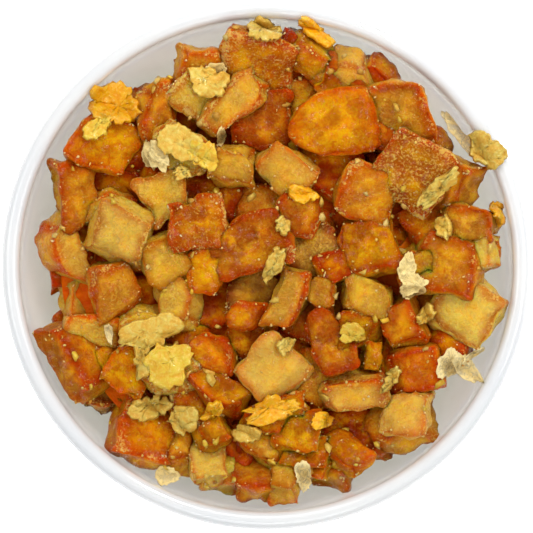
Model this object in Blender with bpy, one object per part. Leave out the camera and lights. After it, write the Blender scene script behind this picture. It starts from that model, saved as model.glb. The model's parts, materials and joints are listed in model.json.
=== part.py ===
"""A small white porcelain bowl filled with diced candied orange peel.

The bowl is one turned solid. The peel is one solid too: a core that fills the bowl, with the dice
that show fused on. Every die is a block cut from peel: a zest side, a pith side and four cut sides.

Metres, +Z up. The origin is the middle of the foot, on the surface that the bowl stands on.
"""

import math
import random
from collections import namedtuple

import bmesh
import bpy
from mathutils import Matrix, Vector

MM = 0.001

# Bowl
RIM_RADIUS = 46.0 * MM
BOWL_HEIGHT = 42.0 * MM
LIP_THICKNESS = 3.0 * MM
FLOOR_THICKNESS = 3.6 * MM
FOOT_RADIUS = 24.0 * MM
FOOT_WIDTH = 3.2 * MM
FOOT_HEIGHT = 3.0 * MM
FOOT_RECESS = 1.8 * MM
BOWL_SEGMENTS = 56
WALL_POINTS = 13
LIP_POINTS = 5
WALL_ROUND = 2.0
WALL_BULGE = 0.5

MOUTH_RADIUS = RIM_RADIUS - LIP_THICKNESS
BOWL_DEPTH = BOWL_HEIGHT - FOOT_RECESS - FLOOR_THICKNESS

# Peel
PEEL_THICKNESS = 5.2 * MM
WALL_GAP = 0.35 * MM
HEAP_TOP = 43.5 * MM
EDGE_DROP = 3.4 * MM
EDGE_DROP_PLAY = 2.0 * MM
LOW_SIDE = math.radians(-125)
WALL_LEAN = math.radians(34)
WALL_LEAN_FROM = 27.0 * MM
CORE_SEGMENTS = 28
CORE_POINTS = 8
CORE_SINK = 6.4 * MM
CORE_EDGE_RADIUS = 37.0 * MM
CORNER_PLAY = 0.11
FILL_DICE = 80
FILL_TOP = (-1.5, -0.9)
PEEL_SEED = 13

# The photograph's frame: the pixel over the bowl's axis, and the bowl's rim in pixels
AXIS_PIXEL = (265.5, 263.5)
RIM_PIXELS = 258.0
METRES_PER_PIXEL = RIM_RADIUS / RIM_PIXELS

# One die of peel. across and down are the photograph's pixels, length and width are in millimetres.
# turn is the long side's angle and lean tips the die's top towards an angle, all in degrees.
# level is how far its top stands above the heap's surface, in thicknesses of peel.
# up says which side is up: zest, pith, or a cut edge, whose zest then lies right of the long side.
Die = namedtuple("Die", "across down length width turn lean towards level up")

DICE = (
    # Lower dice, seen in the gaps
    Die(300, 66, 9.0, 8.0, -20, 12, 60, -0.7, "zest"),
    Die(296, 93, 9.0, 7.0, -10, 8, 250, -0.9, "zest"),
    Die(325, 165, 12.4, 9.0, -30, 8, 120, -0.8, "zest"),
    Die(290, 138, 6.5, 5.0, 70, 10, 200, -0.9, "zest"),
    Die(232, 205, 8.0, 7.0, 80, 10, 30, -0.9, "zest"),
    Die(262, 205, 8.0, 6.0, -10, 8, 100, -0.8, "zest"),
    Die(86, 240, 8.0, 6.0, 80, 10, 20, -0.9, "zest"),
    Die(84, 290, 9.0, 6.5, 95, 14, 350, -0.8, "pith"),
    Die(210, 303, 8.0, 7.4, 20, 12, 60, -0.9, "zest"),
    Die(313, 314, 8.6, 7.4, 70, 8, 180, -0.8, "zest"),
    Die(100, 377, 11.0, 6.4, 75, 16, 30, -1.1, "zest"),
    Die(130, 392, 8.0, 6.4, -6, 12, 60, -1.0, "zest"),
    Die(255, 458, 8.4, 8.0, 30, 12, 90, -0.8, "zest"),
    Die(426, 146, 6.5, 6.0, 10, 10, 200, -0.7, "zest"),
    Die(120, 184, 9.0, 6.0, -5, 12, 280, -0.9, "zest"),
    Die(386, 350, 7.4, 7.0, 40, 8, 120, -0.9, "zest"),
    Die(334, 468, 8.0, 7.0, -20, 16, 100, -0.7, "zest"),
    Die(226, 462, 9.4, 6.0, 75, 14, 100, -0.6, "pith"),
    Die(310, 250, 9.8, 8.6, 120, 6, 150, -0.5, "pith"),
    Die(250, 292, 8.0, 7.6, -15, 8, 60, -0.6, "pith"),
    Die(245, 336, 7.4, 6.6, 80, 8, 200, -0.6, "zest"),
    Die(260, 124, 10.4, 9.4, 80, 8, 350, -0.5, "zest"),
    Die(352, 428, 10.6, 7.4, -5, 10, 80, -0.5, "zest"),
    Die(424, 214, 8.4, 6.8, 35, 8, 270, -0.5, "zest"),
    Die(309, 374, 9.0, 6.8, 70, 8, 0, -0.5, "zest"),
    Die(438, 342, 10.2, 7.0, -10, 12, 110, -0.5, "zest"),
    Die(410, 428, 10.6, 9.0, 25, 12, 130, -0.4, "zest"),
    Die(344, 226, 7.6, 6.8, 30, 8, 90, -0.8, "zest"),
    Die(144, 286, 8.0, 7.0, 10, 8, 200, -0.9, "zest"),
    Die(240, 432, 8.4, 6.6, 60, 8, 30, -0.8, "zest"),
    Die(160, 408, 8.6, 7.0, 25, 10, 30, -0.8, "pith"),
    Die(318, 432, 7.6, 6.4, 60, 8, 90, -0.8, "zest"),
    Die(440, 300, 7.8, 7.0, 30, 8, 100, -0.8, "zest"),
    Die(150, 150, 8.0, 7.0, 40, 8, 300, -0.8, "zest"),
    Die(384, 64, 8.0, 6.6, -50, 16, 240, -0.7, "zest"),
    Die(190, 328, 8.0, 6.6, 70, 8, 90, -0.7, "zest"),
    Die(272, 76, 7.4, 6.6, 30, 8, 0, -0.8, "zest"),
    # Middle and upper dice, from the far rim to the near one
    Die(253, 53, 11.0, 9.6, -12, 10, 270, 0.0, "zest"),
    Die(320, 42, 10.7, 5.6, -40, 10, 270, -0.1, "zest"),
    Die(356, 54, 9.4, 7.0, -8, 8, 250, 0.0, "edge"),
    Die(198, 63, 7.6, 6.4, -10, 14, 290, -0.2, "zest"),
    Die(351, 91, 12.8, 7.4, 152, 8, 240, 0.2, "edge"),
    Die(205, 95, 9.6, 9.0, -35, 8, 190, 0.0, "pith"),
    Die(239, 103, 13.6, 7.4, 43, 6, 120, 0.3, "edge"),
    Die(409, 103, 10.6, 9.6, 105, 10, 225, 0.2, "zest"),
    Die(160, 112, 9.2, 6.4, 98, 10, 320, -0.1, "zest"),
    Die(326, 122, 13.0, 9.8, 5, 8, 300, 0.3, "zest"),
    Die(372, 132, 7.4, 6.0, -20, 8, 330, 0.0, "zest"),
    Die(105, 147, 9.4, 8.6, -27, 20, 80, 0.1, "zest"),
    Die(185, 152, 9.8, 8.0, -35, 8, 240, 0.2, "pith"),
    Die(231, 168, 7.6, 6.4, -10, 10, 250, 0.2, "pith"),
    Die(284, 174, 9.6, 7.0, -35, 14, 235, 0.2, "pith"),
    Die(407, 171, 11.6, 11.2, -35, 6, 270, 0.3, "zest"),
    Die(460, 180, 7.8, 6.2, 70, 12, 200, 0.0, "zest"),
    Die(364, 193, 10.4, 9.0, -20, 8, 315, 0.1, "zest"),
    Die(72, 190, 10.4, 6.4, 95, 14, 350, 0.0, "zest"),
    Die(168, 194, 7.8, 7.2, 110, 10, 200, -0.2, "pith"),
    Die(109, 206, 9.2, 7.0, 168, 12, 280, -0.2, "edge"),
    Die(297, 212, 7.4, 6.4, -20, 8, 330, 0.0, "zest"),
    Die(198, 221, 9.8, 9.0, 12, 6, 270, 0.3, "zest"),
    Die(466, 220, 8.6, 5.8, -5, 12, 250, 0.0, "zest"),
    Die(124, 237, 10.3, 10.0, -25, 10, 255, 0.3, "pith"),
    Die(369, 242, 10.8, 9.2, 10, 8, 135, 0.2, "zest"),
    Die(250, 246, 12.6, 8.4, 15, 8, 130, 0.2, "zest"),
    Die(64, 248, 10.4, 7.0, -77, 6, 0, 0.0, "edge"),
    Die(490, 248, 5.8, 5.2, 90, 10, 180, 0.0, "pith"),
    Die(167, 258, 8.4, 7.8, 25, 8, 280, 0.1, "pith"),
    Die(443, 263, 10.6, 9.4, -20, 8, 100, 0.2, "zest"),
    Die(412, 262, 6.2, 5.0, 90, 8, 0, 0.0, "zest"),
    Die(332, 268, 5.6, 5.0, 20, 10, 60, 0.0, "zest"),
    Die(205, 267, 6.9, 5.2, 100, 8, 300, 0.1, "zest"),
    Die(116, 288, 9.4, 7.2, 105, 8, 330, 0.0, "zest"),
    Die(363, 293, 8.6, 7.2, -8, 10, 90, 0.1, "pith"),
    Die(318, 289, 5.4, 5.0, 80, 8, 200, 0.0, "zest"),
    Die(288, 296, 11.2, 8.0, 72, 6, 150, 0.3, "edge"),
    Die(178, 300, 8.0, 7.2, 100, 8, 180, 0.1, "pith"),
    Die(466, 307, 10.2, 9.6, -30, 12, 315, 0.2, "pith"),
    Die(244, 312, 7.4, 5.4, -5, 8, 240, -0.1, "zest"),
    Die(151, 319, 9.8, 5.6, -10, 8, 290, 0.1, "pith"),
    Die(394, 320, 9.0, 6.4, 110, 8, 200, 0.1, "zest"),
    Die(93, 326, 9.0, 7.0, 168, 14, 270, 0.0, "edge"),
    Die(357, 327, 7.2, 5.8, -5, 8, 270, 0.1, "zest"),
    Die(329, 341, 8.4, 6.4, 115, 8, 130, 0.1, "zest"),
    Die(208, 351, 9.0, 6.8, -10, 8, 60, 0.0, "zest"),
    Die(108, 352, 5.6, 5.0, 20, 12, 300, -0.2, "zest"),
    Die(368, 352, 5.8, 4.4, 90, 6, 0, 0.0, "zest"),
    Die(67, 358, 12.4, 8.4, -62, 20, 35, 0.1, "zest"),
    Die(130, 364, 7.2, 6.8, -30, 8, 250, 0.0, "zest"),
    Die(273, 366, 10.2, 9.8, -42, 8, 315, 0.3, "pith"),
    Die(172, 366, 9.2, 9.0, 15, 6, 250, 0.1, "pith"),
    Die(410, 368, 9.8, 7.8, 10, 6, 280, 0.1, "zest"),
    Die(221, 386, 11.2, 7.4, -40, 6, 60, 0.3, "edge"),
    Die(350, 387, 10.6, 7.4, 185, 10, 260, 0.2, "edge"),
    Die(195, 400, 7.4, 7.0, -30, 10, 80, -0.2, "zest"),
    Die(401, 409, 8.0, 7.4, -3, 8, 135, 0.4, "pith"),
    Die(277, 411, 10.2, 5.6, 15, 6, 90, 0.1, "zest"),
    Die(213, 425, 5.6, 5.2, 25, 8, 90, 0.3, "zest"),
    Die(141, 430, 10.8, 9.6, 75, 12, 30, -0.2, "zest"),
    Die(293, 432, 7.6, 6.6, 0, 6, 60, 0.1, "pith"),
    Die(179, 444, 7.2, 5.6, 85, 10, 80, -0.1, "zest"),
    Die(263, 444, 8.4, 5.8, -35, 8, 60, 0.0, "zest"),
    Die(345, 450, 8.4, 5.6, -35, 8, 100, 0.1, "zest"),
    Die(303, 450, 7.6, 5.0, 0, 8, 100, 0.0, "zest"),
    Die(204, 456, 9.8, 6.0, 98, 10, 60, 0.0, "pith"),
    Die(316, 464, 5.2, 4.8, 60, 12, 90, -0.2, "zest"),
    Die(285, 478, 7.8, 5.4, 85, 12, 90, 0.1, "pith"),
    Die(255, 488, 7.6, 6.6, 5, 14, 90, 0.0, "zest"),
)


def clear_scene():
    for thing in list(bpy.data.objects):
        bpy.data.objects.remove(thing, do_unlink=True)


def make_material(name, colour, roughness):
    material = bpy.data.materials.new(name)
    material.use_nodes = True
    shader = material.node_tree.nodes["Principled BSDF"]
    shader.inputs["Base Color"].default_value = (*colour, 1.0)
    shader.inputs["Roughness"].default_value = roughness
    shader.inputs["Metallic"].default_value = 0.0
    return material


def wall_radius(share):
    """The bowl's curve: its radius, as a share of the mouth's, at a share of its depth."""
    return (1.0 - share**WALL_ROUND) ** WALL_BULGE


def inner_radius(height):
    """The radius of the bowl's inside at a height."""
    share = min(max((BOWL_HEIGHT - height) / BOWL_DEPTH, 0.0), 1.0)
    return MOUTH_RADIUS * wall_radius(share)


def inner_height(radius):
    """The height of the bowl's inside at a radius."""
    share = min(radius / MOUTH_RADIUS, 1.0)
    return BOWL_HEIGHT - BOWL_DEPTH * (1.0 - share ** (1.0 / WALL_BULGE)) ** (1.0 / WALL_ROUND)


def bowl_profile():
    """The bowl's section as (radius, height) points, from its floor over the lip to its foot."""
    lip = LIP_THICKNESS / 2
    inside = []
    for step in range(WALL_POINTS):
        height = BOWL_HEIGHT - lip - (BOWL_DEPTH - lip) * math.cos(step / WALL_POINTS * math.pi / 2)
        inside.append((inner_radius(height), height))
    over_lip = []
    for step in range(LIP_POINTS + 1):
        angle = math.pi * (1.0 - step / LIP_POINTS)
        over_lip.append((MOUTH_RADIUS + lip + lip * math.cos(angle), BOWL_HEIGHT - lip + lip * math.sin(angle)))
    outside = []
    for step in range(1, WALL_POINTS):
        share = math.sin(step / (WALL_POINTS - 1) * math.pi / 2)
        radius = FOOT_RADIUS + (RIM_RADIUS - FOOT_RADIUS) * wall_radius(share)
        outside.append((radius, BOWL_HEIGHT - lip - (BOWL_HEIGHT - lip - FOOT_HEIGHT) * share))
    inner_foot = FOOT_RADIUS - FOOT_WIDTH
    foot = [
        (FOOT_RADIUS - 0.4 * MM, 0.0),
        (inner_foot, 0.0),
        (inner_foot - 0.8 * MM, FOOT_RECESS),
        (0.0, FOOT_RECESS),
    ]
    return inside + over_lip + outside + foot


def turned(name, profile, segments):
    """A closed solid: a profile that starts and ends on the Z axis, spun once round it."""
    mesh = bmesh.new()
    points = [mesh.verts.new((radius, 0.0, height)) for radius, height in profile]
    edges = [mesh.edges.new(pair) for pair in zip(points, points[1:])]
    bmesh.ops.spin(
        mesh, geom=points + edges, cent=(0, 0, 0), axis=(0, 0, 1), angle=math.tau, steps=segments, use_merge=True
    )
    bmesh.ops.remove_doubles(mesh, verts=mesh.verts, dist=0.01 * MM)
    bmesh.ops.recalc_face_normals(mesh, faces=mesh.faces)
    data = bpy.data.meshes.new(name)
    mesh.to_mesh(data)
    mesh.free()
    made = bpy.data.objects.new(name, data)
    bpy.context.scene.collection.objects.link(made)
    return made


def make_bowl(material):
    bowl = turned("bowl", bowl_profile(), BOWL_SEGMENTS)
    bowl.data.materials.append(material)
    bowl.data.shade_smooth()
    bowl.data.set_sharp_from_angle(angle=math.radians(40))
    return bowl


def heap_height(place):
    """The heap's surface: highest on the axis, lower by the wall, and lowest on one side."""
    share = math.hypot(place.x, place.y) / MOUTH_RADIUS
    drop = EDGE_DROP + EDGE_DROP_PLAY * math.cos(math.atan2(place.y, place.x) - LOW_SIDE)
    return HEAP_TOP - drop * share**2


def core_profile():
    """The core's section, from the bowl's floor up its wall and back over the crown."""
    floor = BOWL_HEIGHT - BOWL_DEPTH + WALL_GAP
    edge = inner_height(CORE_EDGE_RADIUS + WALL_GAP)
    side = [(0.0, floor)]
    for step in range(1, CORE_POINTS):
        height = floor + (edge - floor) * (1.0 - math.cos(step / (CORE_POINTS - 1) * math.pi / 2))
        side.append((inner_radius(height) - WALL_GAP, height))
    crown = []
    for step in range(1, CORE_POINTS):
        radius = CORE_EDGE_RADIUS * (1.0 - step / (CORE_POINTS - 1))
        crown.append((radius, heap_height(Vector((0.0, radius, 0.0))) - CORE_SINK))
    return side + crown


def fill_dice(chance):
    """The dice under the ones in the table, spread evenly over the core by a golden-angle spiral."""
    golden = math.pi * (3.0 - math.sqrt(5.0))
    reach = CORE_EDGE_RADIUS / METRES_PER_PIXEL
    for step in range(FILL_DICE):
        radius = reach * math.sqrt((step + 0.5) / FILL_DICE)
        yield Die(
            AXIS_PIXEL[0] + radius * math.cos(golden * step) + chance.uniform(-8, 8),
            AXIS_PIXEL[1] + radius * math.sin(golden * step) + chance.uniform(-8, 8),
            chance.uniform(7.0, 10.5),
            chance.uniform(6.0, 8.5),
            chance.uniform(0, 360),
            chance.uniform(0, 22),
            chance.uniform(0, 360),
            chance.uniform(*FILL_TOP),
            chance.choice(("zest", "pith", "edge", "zest")),
        )


def leaning(towards, amount):
    """The rotation that tips an upright line towards an angle, both in radians."""
    return Matrix.Rotation(amount, 3, Vector((-math.sin(towards), math.cos(towards), 0.0)))


def die_rotation(die, place):
    """The rotation of a die: flat or on edge, turned, leant over, and leant on the wall near it."""
    over = {"zest": 0.0, "pith": math.pi, "edge": math.pi / 2}[die.up]
    rotation = Matrix.Rotation(math.radians(die.turn), 3, "Z") @ Matrix.Rotation(over, 3, "X")
    rotation = leaning(math.radians(die.towards), math.radians(die.lean)) @ rotation
    radius = math.hypot(place.x, place.y)
    nearness = max(radius - WALL_LEAN_FROM, 0.0) / (MOUTH_RADIUS - WALL_LEAN_FROM)
    return leaning(math.atan2(-place.y, -place.x), WALL_LEAN * nearness) @ rotation


def past_wall(corner):
    """How far a point stands past the bowl's wall, less the gap that is kept to it."""
    return math.hypot(corner.x, corner.y) - inner_radius(corner.z) + WALL_GAP


def die_corners(die, chance):
    """A die's eight corners in the bowl. It is moved in from the wall until all of them are clear."""
    thickness = min(PEEL_THICKNESS * chance.uniform(0.9, 1.06), 0.94 * die.width * MM)
    half = Vector((die.length * MM, die.width * MM, thickness)) / 2
    rise = half.y if die.up == "edge" else half.z
    place = Vector((die.across - AXIS_PIXEL[0], AXIS_PIXEL[1] - die.down, 0.0)) * METRES_PER_PIXEL
    rotation = die_rotation(die, place)
    local = []
    for index in range(8):
        sign = Vector((1 if index & 1 else -1, 1 if index & 2 else -1, 1 if index & 4 else -1))
        cut = [half[axis] * (sign[axis] + 2 * chance.uniform(-CORNER_PLAY, CORNER_PLAY)) for axis in range(3)]
        local.append(rotation @ Vector(cut))
    for _ in range(20):
        place.z = heap_height(place) + die.level * PEEL_THICKNESS - rise
        corners = [place + corner for corner in local]
        outermost = max(corners, key=past_wall)
        if past_wall(outermost) <= 0.0:
            break
        inward = -Vector((outermost.x, outermost.y, 0.0)).normalized()
        place += inward * (past_wall(outermost) + 0.1 * MM)
    return corners


def make_die(name, corners, collection):
    """One die as a solid: a cube whose corners are where the knife left them."""
    mesh = bmesh.new()
    bmesh.ops.create_cube(mesh, size=2.0)
    for vertex in mesh.verts:
        vertex.co = corners[(vertex.co.x > 0) + 2 * (vertex.co.y > 0) + 4 * (vertex.co.z > 0)]
    bmesh.ops.triangulate(mesh, faces=mesh.faces)
    data = bpy.data.meshes.new(name)
    mesh.to_mesh(data)
    mesh.free()
    made = bpy.data.objects.new(name, data)
    collection.objects.link(made)
    return made


def keep_largest_shell(data):
    """Drops loose scraps and sealed hollows: the shell with the most corners is kept."""
    mesh = bmesh.new()
    mesh.from_mesh(data)
    bmesh.ops.triangulate(mesh, faces=mesh.faces)
    waiting, shells = set(mesh.verts), []
    while waiting:
        found = [waiting.pop()]
        for vertex in found:
            for edge in vertex.link_edges:
                other = edge.other_vert(vertex)
                if other in waiting:
                    waiting.discard(other)
                    found.append(other)
        shells.append(found)
    shells.sort(key=len)
    scraps = [vertex for shell in shells[:-1] for vertex in shell]
    bmesh.ops.delete(mesh, geom=scraps, context="VERTS")
    mesh.to_mesh(data)
    mesh.free()


def make_heap(material):
    """The peel: the core and its dice, joined into one solid."""
    chance = random.Random(PEEL_SEED)
    heap = turned("peel_heap", core_profile(), CORE_SEGMENTS)
    pile = bpy.data.collections.new("dice")
    bpy.context.scene.collection.children.link(pile)
    for index, die in enumerate([*fill_dice(chance), *DICE]):
        make_die(f"die_{index:03d}", die_corners(die, chance), pile)
    union = heap.modifiers.new("dice", "BOOLEAN")
    union.operation = "UNION"
    union.operand_type = "COLLECTION"
    union.collection = pile
    union.solver = "MANIFOLD"
    graph = bpy.context.evaluated_depsgraph_get()
    joined = bpy.data.meshes.new_from_object(heap.evaluated_get(graph))
    heap.modifiers.clear()
    heap.data = joined
    for die in list(pile.objects):
        bpy.data.objects.remove(die, do_unlink=True)
    bpy.data.collections.remove(pile)
    keep_largest_shell(heap.data)
    heap.data.materials.clear()
    heap.data.materials.append(material)
    return heap


def main():
    clear_scene()
    porcelain = make_material("white_porcelain", (0.86, 0.86, 0.85), 0.12)
    candied_peel = make_material("candied_peel", (0.72, 0.30, 0.03), 0.35)
    make_bowl(porcelain)
    make_heap(candied_peel)


main()
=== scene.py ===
"""A small white porcelain bowl filled with diced candied orange peel, as a detailed scene.

Every die is a block cut from peel, with its skin on one side and its pith on the other. It is rounded,
chipped, curled and wrinkled, and coloured through its depth. Thin skins of membrane, sugar crust and
crumbs lie on the dice. Metres, +Z up, with the origin under the middle of the bowl's foot.
"""

import json
import math
import random
from collections import namedtuple

import bmesh
import bpy
import numpy as np
from mathutils import Matrix, Vector
from mathutils.bvhtree import BVHTree

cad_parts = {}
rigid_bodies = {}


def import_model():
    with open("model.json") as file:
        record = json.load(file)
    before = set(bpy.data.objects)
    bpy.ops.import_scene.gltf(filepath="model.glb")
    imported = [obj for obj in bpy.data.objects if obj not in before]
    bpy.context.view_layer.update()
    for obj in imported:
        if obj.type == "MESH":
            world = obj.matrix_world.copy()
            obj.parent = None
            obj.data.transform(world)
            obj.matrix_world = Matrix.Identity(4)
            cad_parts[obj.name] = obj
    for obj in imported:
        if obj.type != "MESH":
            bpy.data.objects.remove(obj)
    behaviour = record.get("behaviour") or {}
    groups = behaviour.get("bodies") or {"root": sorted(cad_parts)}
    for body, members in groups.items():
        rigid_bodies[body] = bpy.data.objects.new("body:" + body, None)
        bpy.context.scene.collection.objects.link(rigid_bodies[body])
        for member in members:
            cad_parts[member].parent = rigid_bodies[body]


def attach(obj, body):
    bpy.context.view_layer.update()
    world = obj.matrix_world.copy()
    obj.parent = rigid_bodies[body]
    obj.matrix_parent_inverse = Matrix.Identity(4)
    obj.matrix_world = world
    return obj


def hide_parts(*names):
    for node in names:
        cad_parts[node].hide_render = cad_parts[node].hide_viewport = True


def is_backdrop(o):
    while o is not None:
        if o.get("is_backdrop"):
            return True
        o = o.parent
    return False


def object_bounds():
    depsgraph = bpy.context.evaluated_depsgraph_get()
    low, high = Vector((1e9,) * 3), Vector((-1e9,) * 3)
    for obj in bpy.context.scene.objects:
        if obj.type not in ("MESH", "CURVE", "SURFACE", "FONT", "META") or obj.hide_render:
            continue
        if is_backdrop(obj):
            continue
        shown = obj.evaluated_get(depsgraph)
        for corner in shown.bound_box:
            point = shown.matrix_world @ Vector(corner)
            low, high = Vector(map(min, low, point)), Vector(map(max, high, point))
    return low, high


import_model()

bl_info = {
    "name": "Bowl of candied orange peel",
    "version": (1, 0, 0),
    "blender": (4, 5, 0),
    "location": "3D View > Sidebar > Peel",
    "description": "Builds a porcelain bowl filled with diced candied orange peel",
    "category": "Add Mesh",
}

MM = 0.001

# Where the dice lie: the same figures and rules as the solid heap's
WALL_ROUND = 2.0
WALL_BULGE = 0.5
WALL_GAP = 0.35 * MM
HEAP_TOP = 43.5 * MM
EDGE_DROP = 3.4 * MM
EDGE_DROP_PLAY = 2.0 * MM
LOW_SIDE = math.radians(-125)
WALL_LEAN = math.radians(34)
WALL_LEAN_FROM = 27.0 * MM
CORE_SINK = 6.4 * MM
CORE_EDGE_RADIUS = 37.0 * MM
CORNER_PLAY = 0.11
FILL_DICE = 80
FILL_TOP = (-1.5, -0.9)
PEEL_SEED = 13
AXIS_PIXEL = (265.5, 263.5)
RIM_PIXELS = 258.0

# One die of peel. across and down are the photograph's pixels, length and width are in millimetres.
# turn is the long side's angle and lean tips the die's top towards an angle, all in degrees.
# level is how far its top stands above the heap's surface, in thicknesses of peel.
# up says which side is up: zest, pith, or a cut edge, whose zest then lies right of the long side.
# kind names its colour, and frost is how much sugar crust it has, from 0 to 1.
Die = namedtuple("Die", "across down length width turn lean towards level up kind frost")

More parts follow.
